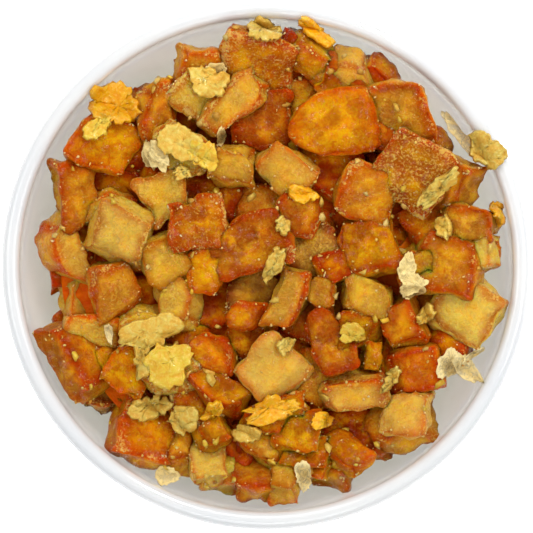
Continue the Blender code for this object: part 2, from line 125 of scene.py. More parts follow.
DICE = (
    # Lower dice, seen in the gaps
    Die(300, 66, 9.0, 8.0, -20, 12, 60, -0.7, "zest", "deep", 0.1),
    Die(296, 93, 9.0, 7.0, -10, 8, 250, -0.9, "zest", "amber", 0.2),
    Die(325, 165, 12.4, 9.0, -30, 8, 120, -0.8, "zest", "deep", 0.1),
    Die(290, 138, 6.5, 5.0, 70, 10, 200, -0.9, "zest", "amber", 0.2),
    Die(232, 205, 8.0, 7.0, 80, 10, 30, -0.9, "zest", "deep", 0.2),
    Die(262, 205, 8.0, 6.0, -10, 8, 100, -0.8, "zest", "amber", 0.3),
    Die(86, 240, 8.0, 6.0, 80, 10, 20, -0.9, "zest", "deep", 0.0),
    Die(84, 290, 9.0, 6.5, 95, 14, 350, -0.8, "pith", "tan", 0.1),
    Die(210, 303, 8.0, 7.4, 20, 12, 60, -0.9, "zest", "deep", 0.0),
    Die(313, 314, 8.6, 7.4, 70, 8, 180, -0.8, "zest", "orange", 0.0),
    Die(100, 377, 11.0, 6.4, 75, 16, 30, -1.1, "zest", "mauve", 0.2),
    Die(130, 392, 8.0, 6.4, -6, 12, 60, -1.0, "zest", "deep", 0.0),
    Die(255, 458, 8.4, 8.0, 30, 12, 90, -0.8, "zest", "deep", 0.0),
    Die(426, 146, 6.5, 6.0, 10, 10, 200, -0.7, "zest", "deep", 0.1),
    Die(120, 184, 9.0, 6.0, -5, 12, 280, -0.9, "zest", "deep", 0.2),
    Die(386, 350, 7.4, 7.0, 40, 8, 120, -0.9, "zest", "deep", 0.0),
    Die(334, 468, 8.0, 7.0, -20, 16, 100, -0.7, "zest", "amber", 0.2),
    Die(226, 462, 9.4, 6.0, 75, 14, 100, -0.6, "pith", "tan", 0.2),
    Die(310, 250, 9.8, 8.6, 120, 6, 150, -0.5, "pith", "mauve", 0.3),
    Die(250, 292, 8.0, 7.6, -15, 8, 60, -0.6, "pith", "mauve", 0.3),
    Die(245, 336, 7.4, 6.6, 80, 8, 200, -0.6, "zest", "orange", 0.1),
    Die(260, 124, 10.4, 9.4, 80, 8, 350, -0.5, "zest", "orange", 0.2),
    Die(352, 428, 10.6, 7.4, -5, 10, 80, -0.5, "zest", "deep", 0.1),
    Die(424, 214, 8.4, 6.8, 35, 8, 270, -0.5, "zest", "orange", 0.1),
    Die(309, 374, 9.0, 6.8, 70, 8, 0, -0.5, "zest", "amber", 0.0),
    Die(438, 342, 10.2, 7.0, -10, 12, 110, -0.5, "zest", "deep", 0.1),
    Die(410, 428, 10.6, 9.0, 25, 12, 130, -0.4, "zest", "amber", 0.2),
    Die(344, 226, 7.6, 6.8, 30, 8, 90, -0.8, "zest", "deep", 0.0),
    Die(144, 286, 8.0, 7.0, 10, 8, 200, -0.9, "zest", "deep", 0.0),
    Die(240, 432, 8.4, 6.6, 60, 8, 30, -0.8, "zest", "deep", 0.1),
    Die(160, 408, 8.6, 7.0, 25, 10, 30, -0.8, "pith", "mauve", 0.3),
    Die(318, 432, 7.6, 6.4, 60, 8, 90, -0.8, "zest", "deep", 0.0),
    Die(440, 300, 7.8, 7.0, 30, 8, 100, -0.8, "zest", "orange", 0.0),
    Die(150, 150, 8.0, 7.0, 40, 8, 300, -0.8, "zest", "deep", 0.1),
    Die(384, 64, 8.0, 6.6, -50, 16, 240, -0.7, "zest", "deep", 0.1),
    Die(190, 328, 8.0, 6.6, 70, 8, 90, -0.7, "zest", "deep", 0.0),
    Die(272, 76, 7.4, 6.6, 30, 8, 0, -0.8, "zest", "deep", 0.0),
    # Middle and upper dice, from the far rim to the near one
    Die(253, 53, 11.0, 9.6, -12, 10, 270, 0.0, "zest", "zest", 0.6),
    Die(320, 42, 10.7, 5.6, -40, 10, 270, -0.1, "zest", "golden", 0.4),
    Die(356, 54, 9.4, 7.0, -8, 8, 250, 0.0, "edge", "tan", 0.2),
    Die(198, 63, 7.6, 6.4, -10, 14, 290, -0.2, "zest", "amber", 0.2),
    Die(351, 91, 12.8, 7.4, 152, 8, 240, 0.2, "edge", "golden", 0.1),
    Die(205, 95, 9.6, 9.0, -35, 8, 190, 0.0, "pith", "tan", 0.6),
    Die(239, 103, 13.6, 7.4, 43, 6, 120, 0.3, "edge", "tan", 0.4),
    Die(409, 103, 10.6, 9.6, 105, 10, 225, 0.2, "zest", "amber", 0.1),
    Die(160, 112, 9.2, 6.4, 98, 10, 320, -0.1, "zest", "amber", 0.2),
    Die(326, 122, 13.0, 9.8, 5, 8, 300, 0.3, "zest", "golden", 0.1),
    Die(372, 132, 7.4, 6.0, -20, 8, 330, 0.0, "zest", "orange", 0.0),
    Die(105, 147, 9.4, 8.6, -27, 20, 80, 0.1, "zest", "golden", 0.0),
    Die(185, 152, 9.8, 8.0, -35, 8, 240, 0.2, "pith", "tan", 0.6),
    Die(231, 168, 7.6, 6.4, -10, 10, 250, 0.2, "pith", "yellow", 0.2),
    Die(284, 174, 9.6, 7.0, -35, 14, 235, 0.2, "pith", "tan", 0.3),
    Die(407, 171, 11.6, 11.2, -35, 6, 270, 0.3, "zest", "zest", 0.7),
    Die(460, 180, 7.8, 6.2, 70, 12, 200, 0.0, "zest", "amber", 0.1),
    Die(364, 193, 10.4, 9.0, -20, 8, 315, 0.1, "zest", "amber", 0.3),
    Die(72, 190, 10.4, 6.4, 95, 14, 350, 0.0, "zest", "amber", 0.3),
    Die(168, 194, 7.8, 7.2, 110, 10, 200, -0.2, "pith", "tan", 0.2),
    Die(109, 206, 9.2, 7.0, 168, 12, 280, -0.2, "edge", "tan", 0.2),
    Die(297, 212, 7.4, 6.4, -20, 8, 330, 0.0, "zest", "orange", 0.1),
    Die(198, 221, 9.8, 9.0, 12, 6, 270, 0.3, "zest", "zest", 0.5),
    Die(466, 220, 8.6, 5.8, -5, 12, 250, 0.0, "zest", "amber", 0.0),
    Die(124, 237, 10.3, 10.0, -25, 10, 255, 0.3, "pith", "pith", 0.3),
    Die(369, 242, 10.8, 9.2, 10, 8, 135, 0.2, "zest", "golden", 0.2),
    Die(250, 246, 12.6, 8.4, 15, 8, 130, 0.2, "zest", "orange", 0.3),
    Die(64, 248, 10.4, 7.0, -77, 6, 0, 0.0, "edge", "tan", 0.1),
    Die(490, 248, 5.8, 5.2, 90, 10, 180, 0.0, "pith", "pith", 0.1),
    Die(167, 258, 8.4, 7.8, 25, 8, 280, 0.1, "pith", "yellow", 0.1),
    Die(443, 263, 10.6, 9.4, -20, 8, 100, 0.2, "zest", "amber", 0.2),
    Die(412, 262, 6.2, 5.0, 90, 8, 0, 0.0, "zest", "amber", 0.2),
    Die(332, 268, 5.6, 5.0, 20, 10, 60, 0.0, "zest", "deep", 0.0),
    Die(205, 267, 6.9, 5.2, 100, 8, 300, 0.1, "zest", "golden", 0.1),
    Die(116, 288, 9.4, 7.2, 105, 8, 330, 0.0, "zest", "amber", 0.2),
    Die(363, 293, 8.6, 7.2, -8, 10, 90, 0.1, "pith", "yellow", 0.2),
    Die(318, 289, 5.4, 5.0, 80, 8, 200, 0.0, "zest", "amber", 0.0),
    Die(288, 296, 11.2, 8.0, 72, 6, 150, 0.3, "edge", "yellow", 0.1),
    Die(178, 300, 8.0, 7.2, 100, 8, 180, 0.1, "pith", "tan", 0.2),
    Die(466, 307, 10.2, 9.6, -30, 12, 315, 0.2, "pith", "pith", 0.2),
    Die(244, 312, 7.4, 5.4, -5, 8, 240, -0.1, "zest", "orange", 0.0),
    Die(151, 319, 9.8, 5.6, -10, 8, 290, 0.1, "pith", "yellow", 0.3),
    Die(394, 320, 9.0, 6.4, 110, 8, 200, 0.1, "zest", "orange", 0.1),
    Die(93, 326, 9.0, 7.0, 168, 14, 270, 0.0, "edge", "tan", 0.1),
    Die(357, 327, 7.2, 5.8, -5, 8, 270, 0.1, "zest", "golden", 0.1),
    Die(329, 341, 8.4, 6.4, 115, 8, 130, 0.1, "zest", "orange", 0.1),
    Die(208, 351, 9.0, 6.8, -10, 8, 60, 0.0, "zest", "orange", 0.1),
    Die(108, 352, 5.6, 5.0, 20, 12, 300, -0.2, "zest", "golden", 0.0),
    Die(368, 352, 5.8, 4.4, 90, 6, 0, 0.0, "zest", "golden", 0.0),
    Die(67, 358, 12.4, 8.4, -62, 20, 35, 0.1, "zest", "orange", 0.0),
    Die(130, 364, 7.2, 6.8, -30, 8, 250, 0.0, "zest", "golden", 0.1),
    Die(273, 366, 10.2, 9.8, -42, 8, 315, 0.3, "pith", "pith", 0.3),
    Die(172, 366, 9.2, 9.0, 15, 6, 250, 0.1, "pith", "tan", 0.7),
    Die(410, 368, 9.8, 7.8, 10, 6, 280, 0.1, "zest", "orange", 0.0),
    Die(221, 386, 11.2, 7.4, -40, 6, 60, 0.3, "edge", "golden", 0.1),
    Die(350, 387, 10.6, 7.4, 185, 10, 260, 0.2, "edge", "pith", 0.3),
    Die(195, 400, 7.4, 7.0, -30, 10, 80, -0.2, "zest", "orange", 0.4),
    Die(401, 409, 8.0, 7.4, -3, 8, 135, 0.4, "pith", "pith", 0.3),
    Die(277, 411, 10.2, 5.6, 15, 6, 90, 0.1, "zest", "golden", 0.2),
    Die(213, 425, 5.6, 5.2, 25, 8, 90, 0.3, "zest", "golden", 0.0),
    Die(141, 430, 10.8, 9.6, 75, 12, 30, -0.2, "zest", "zest", 0.3),
    Die(293, 432, 7.6, 6.6, 0, 6, 60, 0.1, "pith", "golden", 0.1),
    Die(179, 444, 7.2, 5.6, 85, 10, 80, -0.1, "zest", "amber", 0.1),
    Die(263, 444, 8.4, 5.8, -35, 8, 60, 0.0, "zest", "amber", 0.1),
    Die(345, 450, 8.4, 5.6, -35, 8, 100, 0.1, "zest", "golden", 0.0),
    Die(303, 450, 7.6, 5.0, 0, 8, 100, 0.0, "zest", "golden", 0.1),
    Die(204, 456, 9.8, 6.0, 98, 10, 60, 0.0, "pith", "pith", 0.1),
    Die(316, 464, 5.2, 4.8, 60, 12, 90, -0.2, "zest", "golden", 0.0),
    Die(285, 478, 7.8, 5.4, 85, 12, 90, 0.1, "pith", "yellow", 0.1),
    Die(255, 488, 7.6, 6.6, 5, 14, 90, 0.0, "zest", "orange", 0.1),
)

# One thin, torn flake lying on the dice: its place in the photograph's pixels, its size in millimetres,
# its long side's angle, how far its edges lift in millimetres, and its kind, which names its colour
Flake = namedtuple("Flake", "across down length width turn lift kind")

FLAKES = (
    Flake(120, 108, 8.8, 7.2, -15, 0.6, "golden"),
    Flake(103, 128, 5.6, 4.2, 40, 0.6, "yellow"),
    Flake(112, 92, 4.2, 2.4, 30, 0.9, "membrane"),
    Flake(105, 108, 3.4, 2.0, 60, 0.8, "membrane"),
    Flake(160, 158, 6.4, 3.2, -60, 0.9, "membrane"),
    Flake(182, 146, 7.8, 6.0, -35, 0.5, "flake"),
    Flake(205, 158, 6.4, 4.6, -20, 0.5, "yellow"),
    Flake(183, 173, 3.4, 3.0, 20, 0.3, "flake"),
    Flake(205, 84, 7.6, 6.0, -30, 0.6, "flake"),
    Flake(213, 76, 5.0, 3.4, 20, 0.6, "membrane"),
    Flake(222, 138, 3.6, 1.4, 75, 0.4, "membrane"),
    Flake(152, 158, 2.6, 5.2, 10, 0.6, "membrane"),
    Flake(455, 135, 9.0, 2.0, -50, 0.3, "white"),
    Flake(481, 150, 6.6, 5.6, -50, 1.2, "flake"),
    Flake(430, 190, 8.8, 3.0, 45, 0.7, "flake"),
    Flake(440, 227, 2.8, 4.4, 5, 0.6, "flake"),
    Flake(492, 212, 2.6, 4.2, 10, 0.6, "golden"),
    Flake(281, 226, 2.6, 3.2, 15, 0.4, "flake"),
    Flake(272, 262, 7.0, 2.8, 68, 0.7, "flake"),
    Flake(402, 268, 5.4, 3.4, 80, 1.0, "membrane"),
    Flake(408, 282, 5.2, 3.2, 35, 1.0, "membrane"),
    Flake(410, 288, 4.2, 2.8, 20, 0.9, "membrane"),
    Flake(445, 361, 7.2, 3.8, 68, 1.2, "white"),
    Flake(463, 364, 7.0, 3.4, -48, 1.2, "white"),
    Flake(470, 350, 4.6, 1.2, 30, 1.0, "white"),
    Flake(387, 374, 5.2, 1.8, 52, 0.9, "flake"),
    Flake(422, 312, 3.8, 2.8, 30, 0.8, "flake"),
    Flake(152, 328, 10.0, 5.4, 18, 0.7, "flake"),
    Flake(144, 352, 3.4, 6.6, 0, 0.8, "flake"),
    Flake(172, 358, 8.6, 7.6, 20, 0.6, "yellow"),
    Flake(150, 403, 6.6, 4.4, 10, 0.6, "flake"),
    Flake(183, 412, 5.4, 4.8, 30, 0.8, "flake"),
    Flake(167, 470, 4.4, 4.0, -10, 0.6, "membrane"),
    Flake(303, 473, 3.4, 5.6, 5, 0.7, "white"),
    Flake(284, 342, 3.2, 3.0, 30, 0.5, "flake"),
    Flake(320, 416, 3.4, 3.0, 10, 0.4, "golden"),
    Flake(248, 427, 4.8, 3.2, -20, 0.5, "flake"),
    Flake(270, 404, 9.6, 4.0, 12, 0.6, "golden"),
    Flake(112, 330, 1.4, 3.4, 8, 0.4, "white"),
    Flake(214, 404, 4.0, 2.6, 40, 0.6, "golden"),
    Flake(300, 195, 5.2, 3.4, -30, 0.6, "golden"),
    Flake(262, 36, 6.0, 4.6, -10, 0.5, "flake"),
    Flake(313, 36, 6.8, 2.8, -40, 0.7, "golden"),
    Flake(350, 330, 4.4, 3.6, 0, 0.4, "yellow"),
)


# The kinds of dice in the table, each of them one piece
KINDS = ("zest", "golden", "orange", "amber", "deep", "tan", "yellow", "pith", "mauve")

# How milky each kind is inside, which also sets how strong its painted broad highlight is
MILK = {
    "zest": 0.05,
    "golden": 0.05,
    "orange": 0.12,
    "amber": 0.3,
    "deep": 0.0,
    "tan": 0.7,
    "yellow": 0.45,
    "pith": 0.8,
    "mauve": 0.5,
    "fill": 0.0,
}

# Divisions of the bowl's section and of a flake, and of a hidden die's sides
WALL_POINTS = 28
LIP_POINTS = 12
FLAKE_RINGS = 9
FLAKE_SPOKES = 44
FILL_CUTS = 6

# The inside of the bowl is painted lighter and warmer from just under its lip downwards, as painted warm
# light bounced from the peel
WELL_TOP = 41.5 * MM
WELL_DEPTH = 7.0 * MM

# Thin pieces: their thickness, the lowest that one is laid where there is only a gap under its middle,
# how far its sides may hang below that, how often it is evened out, and how far it stands off the dice
FLAKE_THICKNESS = 0.8 * MM
MEMBRANE_THICKNESS = 0.12 * MM
GAP_MOUTH = 39.0 * MM
SAG = 1.6 * MM
SAG_ROUNDS = 8
FLAKE_RISE = 0.3 * MM
FLAKE_CLEARANCE = 0.12 * MM

# Crumbs and grains: how many, their smallest and largest radius, how high and how flat a place they need,
# and the chance that they can stick there: anywhere, at an edge and on frost
CRUMBS = 320
CRUMB_SIZES = (0.2 * MM, 0.75 * MM)
GRAINS = 2600
GRAIN_SIZES = (0.07 * MM, 0.24 * MM)
PERCH_HEIGHT = 32.0 * MM
PERCH_SLOPE = 0.25
PERCH_CHANCES = (0.04, 0.1, 0.2)

# The lumpy core: rings over its top, steps up the bowl's wall, faces round it, and its lumps
CORE_RINGS = 40
CORE_STEPS = 15
CORE_SEGMENTS = 120
CORE_LUMPS = 1.2 * MM

# The lamps: where each stands and how large it is. Each panel has its share of the fill's strength.
LAMP_AIM = Vector((0.0, 0.0, 0.04))
SOFTBOX_PLACE = (0.12, 0.26, 0.34)
SOFTBOX_SIZE = (0.05, 0.05)
PANEL_SIZE = (0.24, 0.18)
PANELS = (
    ("left_panel", (-0.3, 0.0, 0.38), 0.85),
    ("right_panel", (0.3, 0.0, 0.38), 1.15),
    ("near_panel", (0.0, -0.3, 0.38), 0.75),
    ("far_panel", (0.0, 0.3, 0.38), 1.1),
)

# Half the side of the white floor
SWEEP_REACH = 1.5


def srgb(red, green, blue):
    """A colour given as 0 to 255, in the linear values that materials use."""
    levels = [level / 255 for level in (red, green, blue)]
    return tuple(((level + 0.055) / 1.055) ** 2.4 if level > 0.04 else level / 12.92 for level in levels)


class BowlSettings(bpy.types.PropertyGroup):
    rim_radius: bpy.props.FloatProperty(
        name="Rim radius", description="Radius of the lip's outside", default=46 * MM, unit="LENGTH"
    )
    height: bpy.props.FloatProperty(
        name="Height", description="Height of the lip above the table", default=42 * MM, unit="LENGTH"
    )
    lip: bpy.props.FloatProperty(
        name="Lip thickness", description="Thickness of the rounded lip", default=3 * MM, unit="LENGTH"
    )
    floor: bpy.props.FloatProperty(
        name="Floor thickness", description="Porcelain under the middle of the inside",
        default=3.6 * MM, unit="LENGTH",
    )
    foot_radius: bpy.props.FloatProperty(
        name="Foot radius", description="Radius of the foot ring's outside", default=24 * MM, unit="LENGTH"
    )
    foot_width: bpy.props.FloatProperty(
        name="Foot width", description="Width of the foot ring", default=3.2 * MM, unit="LENGTH"
    )
    foot_height: bpy.props.FloatProperty(
        name="Foot height", description="Height of the foot ring", default=3 * MM, unit="LENGTH"
    )
    foot_recess: bpy.props.FloatProperty(
        name="Foot recess", description="Height of the hollow inside the foot ring",
        default=1.8 * MM, unit="LENGTH",
    )
    segments: bpy.props.IntProperty(
        name="Segments", description="Faces round the bowl", default=160, min=24, max=256
    )
    # The inside's glaze: lighter and warmer than the glaze, as painted warm light bounced from the peel
    glaze_painted_warm_light: bpy.props.FloatVectorProperty(
        name="Warm glaze", description="Colour of the glaze near the peel",
        subtype="COLOR", default=srgb(255, 242, 212),
    )
    glaze: bpy.props.FloatVectorProperty(
        name="Glaze", description="Colour of the glazed porcelain",
        subtype="COLOR", default=srgb(224, 226, 228),
    )
    biscuit: bpy.props.FloatVectorProperty(
        name="Biscuit", description="Colour of the bare foot", subtype="COLOR", default=srgb(222, 216, 204)
    )


class PeelSettings(bpy.types.PropertyGroup):
    thickness: bpy.props.FloatProperty(
        name="Peel thickness", description="Thickness of the peel", default=5.2 * MM, unit="LENGTH"
    )
    rounding: bpy.props.FloatProperty(
        name="Rounding", description="Radius of a die's softened edges", default=0.9 * MM, unit="LENGTH"
    )
    roundness: bpy.props.FloatProperty(
        name="Roundness", description="How far dice are from blocks and towards pebbles",
        default=0.22, min=0.0, max=0.6,
    )
    wrinkle: bpy.props.FloatProperty(
        name="Wrinkle", description="Depth of the wrinkles on a die", default=0.5 * MM, unit="LENGTH"
    )
    waist: bpy.props.FloatProperty(
        name="Waist", description="How far the cut sides have shrunk in", default=0.45 * MM, unit="LENGTH"
    )
    curl: bpy.props.FloatProperty(
        name="Curl", description="How far the ends of a die curl", default=0.5 * MM, unit="LENGTH"
    )
    cuts: bpy.props.IntProperty(
        name="Cuts", description="Divisions along each side of a die", default=17, min=3, max=24
    )
    swelling: bpy.props.FloatProperty(
        name="Swelling", description="How far the softened dice are swollen to fill their corners",
        default=1.13,
    )
    seed: bpy.props.IntProperty(name="Seed", description="Changes the chips and wrinkles", default=5)


class ColourSettings(bpy.types.PropertyGroup):
    zest: bpy.props.FloatVectorProperty(
        name="Zest", description="Rough outer skin", subtype="COLOR", default=srgb(242, 158, 0)
    )
    golden: bpy.props.FloatVectorProperty(
        name="Golden", description="Smooth golden skin", subtype="COLOR", default=srgb(246, 188, 8)
    )
    orange: bpy.props.FloatVectorProperty(
        name="Orange", description="Clear orange peel", subtype="COLOR", default=srgb(236, 142, 0)
    )
    amber: bpy.props.FloatVectorProperty(
        name="Amber", description="Clear amber peel", subtype="COLOR", default=srgb(228, 156, 0)
    )
    # Deep: a dark red peel, given mostly to the dice low in the gaps, so partly painted shade
    deep: bpy.props.FloatVectorProperty(
        name="Deep", description="Dark syrupy peel", subtype="COLOR", default=srgb(224, 104, 0)
    )
    tan: bpy.props.FloatVectorProperty(
        name="Tan", description="Browned pith", subtype="COLOR", default=srgb(228, 180, 72)
    )
    yellow: bpy.props.FloatVectorProperty(
        name="Yellow", description="Bright yellow pith", subtype="COLOR", default=srgb(236, 206, 68)
    )
    pith: bpy.props.FloatVectorProperty(
        name="Pith", description="Pale pith", subtype="COLOR", default=srgb(232, 206, 120)
    )
    mauve: bpy.props.FloatVectorProperty(
        name="Mauve", description="Dull brown peel", subtype="COLOR", default=srgb(160, 104, 56)
    )
    rim: bpy.props.FloatVectorProperty(
        name="Rim", description="Skin seen at the edge of pith", subtype="COLOR", default=srgb(228, 140, 0)
    )
    sugar: bpy.props.FloatVectorProperty(
        name="Sugar", description="Sugar crust", subtype="COLOR", default=srgb(246, 214, 116)
    )
    membrane: bpy.props.FloatVectorProperty(
        name="Membrane", description="Thin skins of fruit", subtype="COLOR", default=srgb(255, 228, 150)
    )
    # Milk: the pale colour of milky pith, laid on the middles of the dice partly as a painted broad highlight
    milk: bpy.props.FloatVectorProperty(
        name="Milk", description="Milky patches inside the peel", subtype="COLOR", default=srgb(236, 210, 96)
    )
    # Painted glow: a bright colour laid in the middles of the dice, standing in for light shining through the
    # peel
    glow: bpy.props.FloatVectorProperty(
        name="Glow", description="Bright, clear patches inside the peel",
        subtype="COLOR", default=srgb(240, 176, 4),
    )
    flake: bpy.props.FloatVectorProperty(
        name="Flake", description="Pale soft flakes", subtype="COLOR", default=srgb(230, 202, 92)
    )
    white: bpy.props.FloatVectorProperty(
        name="White", description="Dry white skins and grains", subtype="COLOR", default=srgb(255, 234, 176)
    )
    # Syrup: the dark red of the mass under the dice, painted shade for the gaps
    syrup: bpy.props.FloatVectorProperty(
        name="Syrup", description="The dark mass between the dice", subtype="COLOR", default=srgb(214, 78, 0)
    )


class StageSettings(bpy.types.PropertyGroup):
    camera_height: bpy.props.FloatProperty(
        name="Camera height", description="Height of the camera above the lip", default=0.55, unit="LENGTH"
    )
    camera_across: bpy.props.FloatProperty(
        name="Camera across", description="How far right of the bowl's axis it looks",
        default=0.05 * MM, unit="LENGTH",
    )
    camera_down: bpy.props.FloatProperty(
        name="Camera down", description="How far below the bowl's axis it looks",
        default=0.25 * MM, unit="LENGTH",
    )
    lens: bpy.props.FloatProperty(
        name="Lens", description="Focal length", default=213.8, unit="CAMERA"
    )
    key_power: bpy.props.FloatProperty(
        name="Key power", description="Strength of the softbox, in watts", default=0.55
    )
    fill_power: bpy.props.FloatProperty(
        name="Fill power", description="Strength of each side panel, in watts", default=0.37
    )
    sky: bpy.props.FloatProperty(name="Surround", description="Strength of the white surround", default=0.5)
    floor_glow: bpy.props.FloatProperty(
        name="Floor glow", description="Light given off by the white floor", default=0.36
    )


def wall_radius(share):
    """The bowl's curve: its radius, as a share of the mouth's, at a share of its depth."""
    return (1.0 - share**WALL_ROUND) ** WALL_BULGE


def mouth_radius():
    bowl = bpy.context.scene.peel_bowl
    return bowl.rim_radius - bowl.lip


def bowl_depth():
    bowl = bpy.context.scene.peel_bowl
    return bowl.height - bowl.foot_recess - bowl.floor


def inner_radius(height):
    """The radius of the bowl's inside at a height."""
    share = min(max((bpy.context.scene.peel_bowl.height - height) / bowl_depth(), 0.0), 1.0)
    return mouth_radius() * wall_radius(share)


def inner_height(radius):
    """The height of the bowl's inside at a radius."""
    share = min(radius / mouth_radius(), 1.0)
    depth = (1.0 - share ** (1.0 / WALL_BULGE)) ** (1.0 / WALL_ROUND)
    return bpy.context.scene.peel_bowl.height - bowl_depth() * depth


def heap_height(place):
    """The heap's surface: highest on the axis, lower by the wall, and lowest on one side."""
    share = math.hypot(place.x, place.y) / mouth_radius()
    drop = EDGE_DROP + EDGE_DROP_PLAY * math.cos(math.atan2(place.y, place.x) - LOW_SIDE)
    return HEAP_TOP - drop * share**2


def fill_dice(chance):
    """The dice under the ones in the table, spread evenly over the core by a golden-angle spiral."""
    golden = math.pi * (3.0 - math.sqrt(5.0))
    reach = CORE_EDGE_RADIUS / metres_per_pixel()
    for step in range(FILL_DICE):
        radius = reach * math.sqrt((step + 0.5) / FILL_DICE)
        yield Die(
            AXIS_PIXEL[0] + radius * math.cos(golden * step) + chance.uniform(-8, 8),
            AXIS_PIXEL[1] + radius * math.sin(golden * step) + chance.uniform(-8, 8),
            chance.uniform(7.0, 10.5),
            chance.uniform(6.0, 8.5),
            chance.uniform(0, 360),
            chance.uniform(0, 22),
            chance.uniform(0, 360),
            chance.uniform(*FILL_TOP),
            chance.choice(("zest", "pith", "edge", "zest")),
            "fill",
            0.0,
        )


def metres_per_pixel():
    return bpy.context.scene.peel_bowl.rim_radius / RIM_PIXELS


def spot(across, down):
    """A pixel of the photograph as a point over the heap."""
    return Vector((across - AXIS_PIXEL[0], AXIS_PIXEL[1] - down, 0.0)) * metres_per_pixel()


def leaning(towards, amount):
    """The rotation that tips an upright line towards an angle, both in radians."""
    return Matrix.Rotation(amount, 3, Vector((-math.sin(towards), math.cos(towards), 0.0)))


def die_rotation(die, place):
    """The rotation of a die: flat or on edge, turned, leant over, and leant on the wall near it."""
    over = {"zest": 0.0, "pith": math.pi, "edge": math.pi / 2}[die.up]
    rotation = Matrix.Rotation(math.radians(die.turn), 3, "Z") @ Matrix.Rotation(over, 3, "X")
    rotation = leaning(math.radians(die.towards), math.radians(die.lean)) @ rotation
    radius = math.hypot(place.x, place.y)
    nearness = max(radius - WALL_LEAN_FROM, 0.0) / (mouth_radius() - WALL_LEAN_FROM)
    return leaning(math.atan2(-place.y, -place.x), WALL_LEAN * nearness) @ rotation


def past_wall(corner):
    """How far a point stands past the bowl's wall, less the gap that is kept to it."""
    return math.hypot(corner.x, corner.y) - inner_radius(corner.z) + WALL_GAP


def die_corners(die, chance):
    """A die's eight corners in the bowl. It is moved in from the wall until all of them are clear."""
    peel = bpy.context.scene.peel_dice.thickness
    thickness = min(peel * chance.uniform(0.9, 1.06), 0.94 * die.width * MM)
    half = Vector((die.length * MM, die.width * MM, thickness)) / 2
    rise = half.y if die.up == "edge" else half.z
    place = spot(die.across, die.down)
    rotation = die_rotation(die, place)
    local = []
    for index in range(8):
        sign = Vector((1 if index & 1 else -1, 1 if index & 2 else -1, 1 if index & 4 else -1))
        cut = [half[axis] * (sign[axis] + 2 * chance.uniform(-CORNER_PLAY, CORNER_PLAY)) for axis in range(3)]
        local.append(rotation @ Vector(cut))
    for _ in range(20):
        place.z = heap_height(place) + die.level * peel - rise
        corners = [place + corner for corner in local]
        outermost = max(corners, key=past_wall)
        if past_wall(outermost) <= 0.0:
            break
        inward = -Vector((outermost.x, outermost.y, 0.0)).normalized()
        place += inward * (past_wall(outermost) + 0.1 * MM)
    return corners


def lay_dice():
    """Every die with its corners, the fill first, laid by the same draws as the solid heap's."""
    chance = random.Random(PEEL_SEED)
    return [(die, die_corners(die, chance)) for die in [*fill_dice(chance), *DICE]]


def lattice(cell, seed):
    """A steady random number from -1 to 1 for each cell of a lattice."""
    number = cell[:, 0] * 374761393 + cell[:, 1] * 668265263 + cell[:, 2] * 1274126177
    number = (number + seed * 974634777) & 0xFFFFFFFF
    number = ((number ^ (number >> 13)) * 1103515245) & 0xFFFFFFFF
    number = ((number ^ (number >> 16)) * 2246822519) & 0xFFFFFFFF
    return (number & 0xFFFF) / 32767.5 - 1.0


def ripple(points, spacing, seed):
    """Smooth noise from -1 to 1 at points, with bumps a spacing apart."""
    at = points / spacing
    cell = np.floor(at).astype(np.int64)
    share = at - cell
    share = share * share * (3.0 - 2.0 * share)
    total = np.zeros(len(points))
    for corner in range(8):
        step = np.array([corner & 1, (corner >> 1) & 1, (corner >> 2) & 1])
        weight = np.prod(np.where(step, share, 1.0 - share), axis=1)
        total += weight * lattice(cell + step, seed)
    return total


def unit_block(cuts):
    """A cube's surface from -1 to 1 as a grid: its points and its faces."""
    mesh = bmesh.new()
    bmesh.ops.create_cube(mesh, size=2.0)
    bmesh.ops.subdivide_edges(mesh, edges=mesh.edges, cuts=cuts, use_grid_fill=True)
    mesh.verts.ensure_lookup_table()
    points = np.array([vertex.co[:] for vertex in mesh.verts])
    faces = np.array([[vertex.index for vertex in face.verts] for face in mesh.faces])
    mesh.free()
    return points, faces


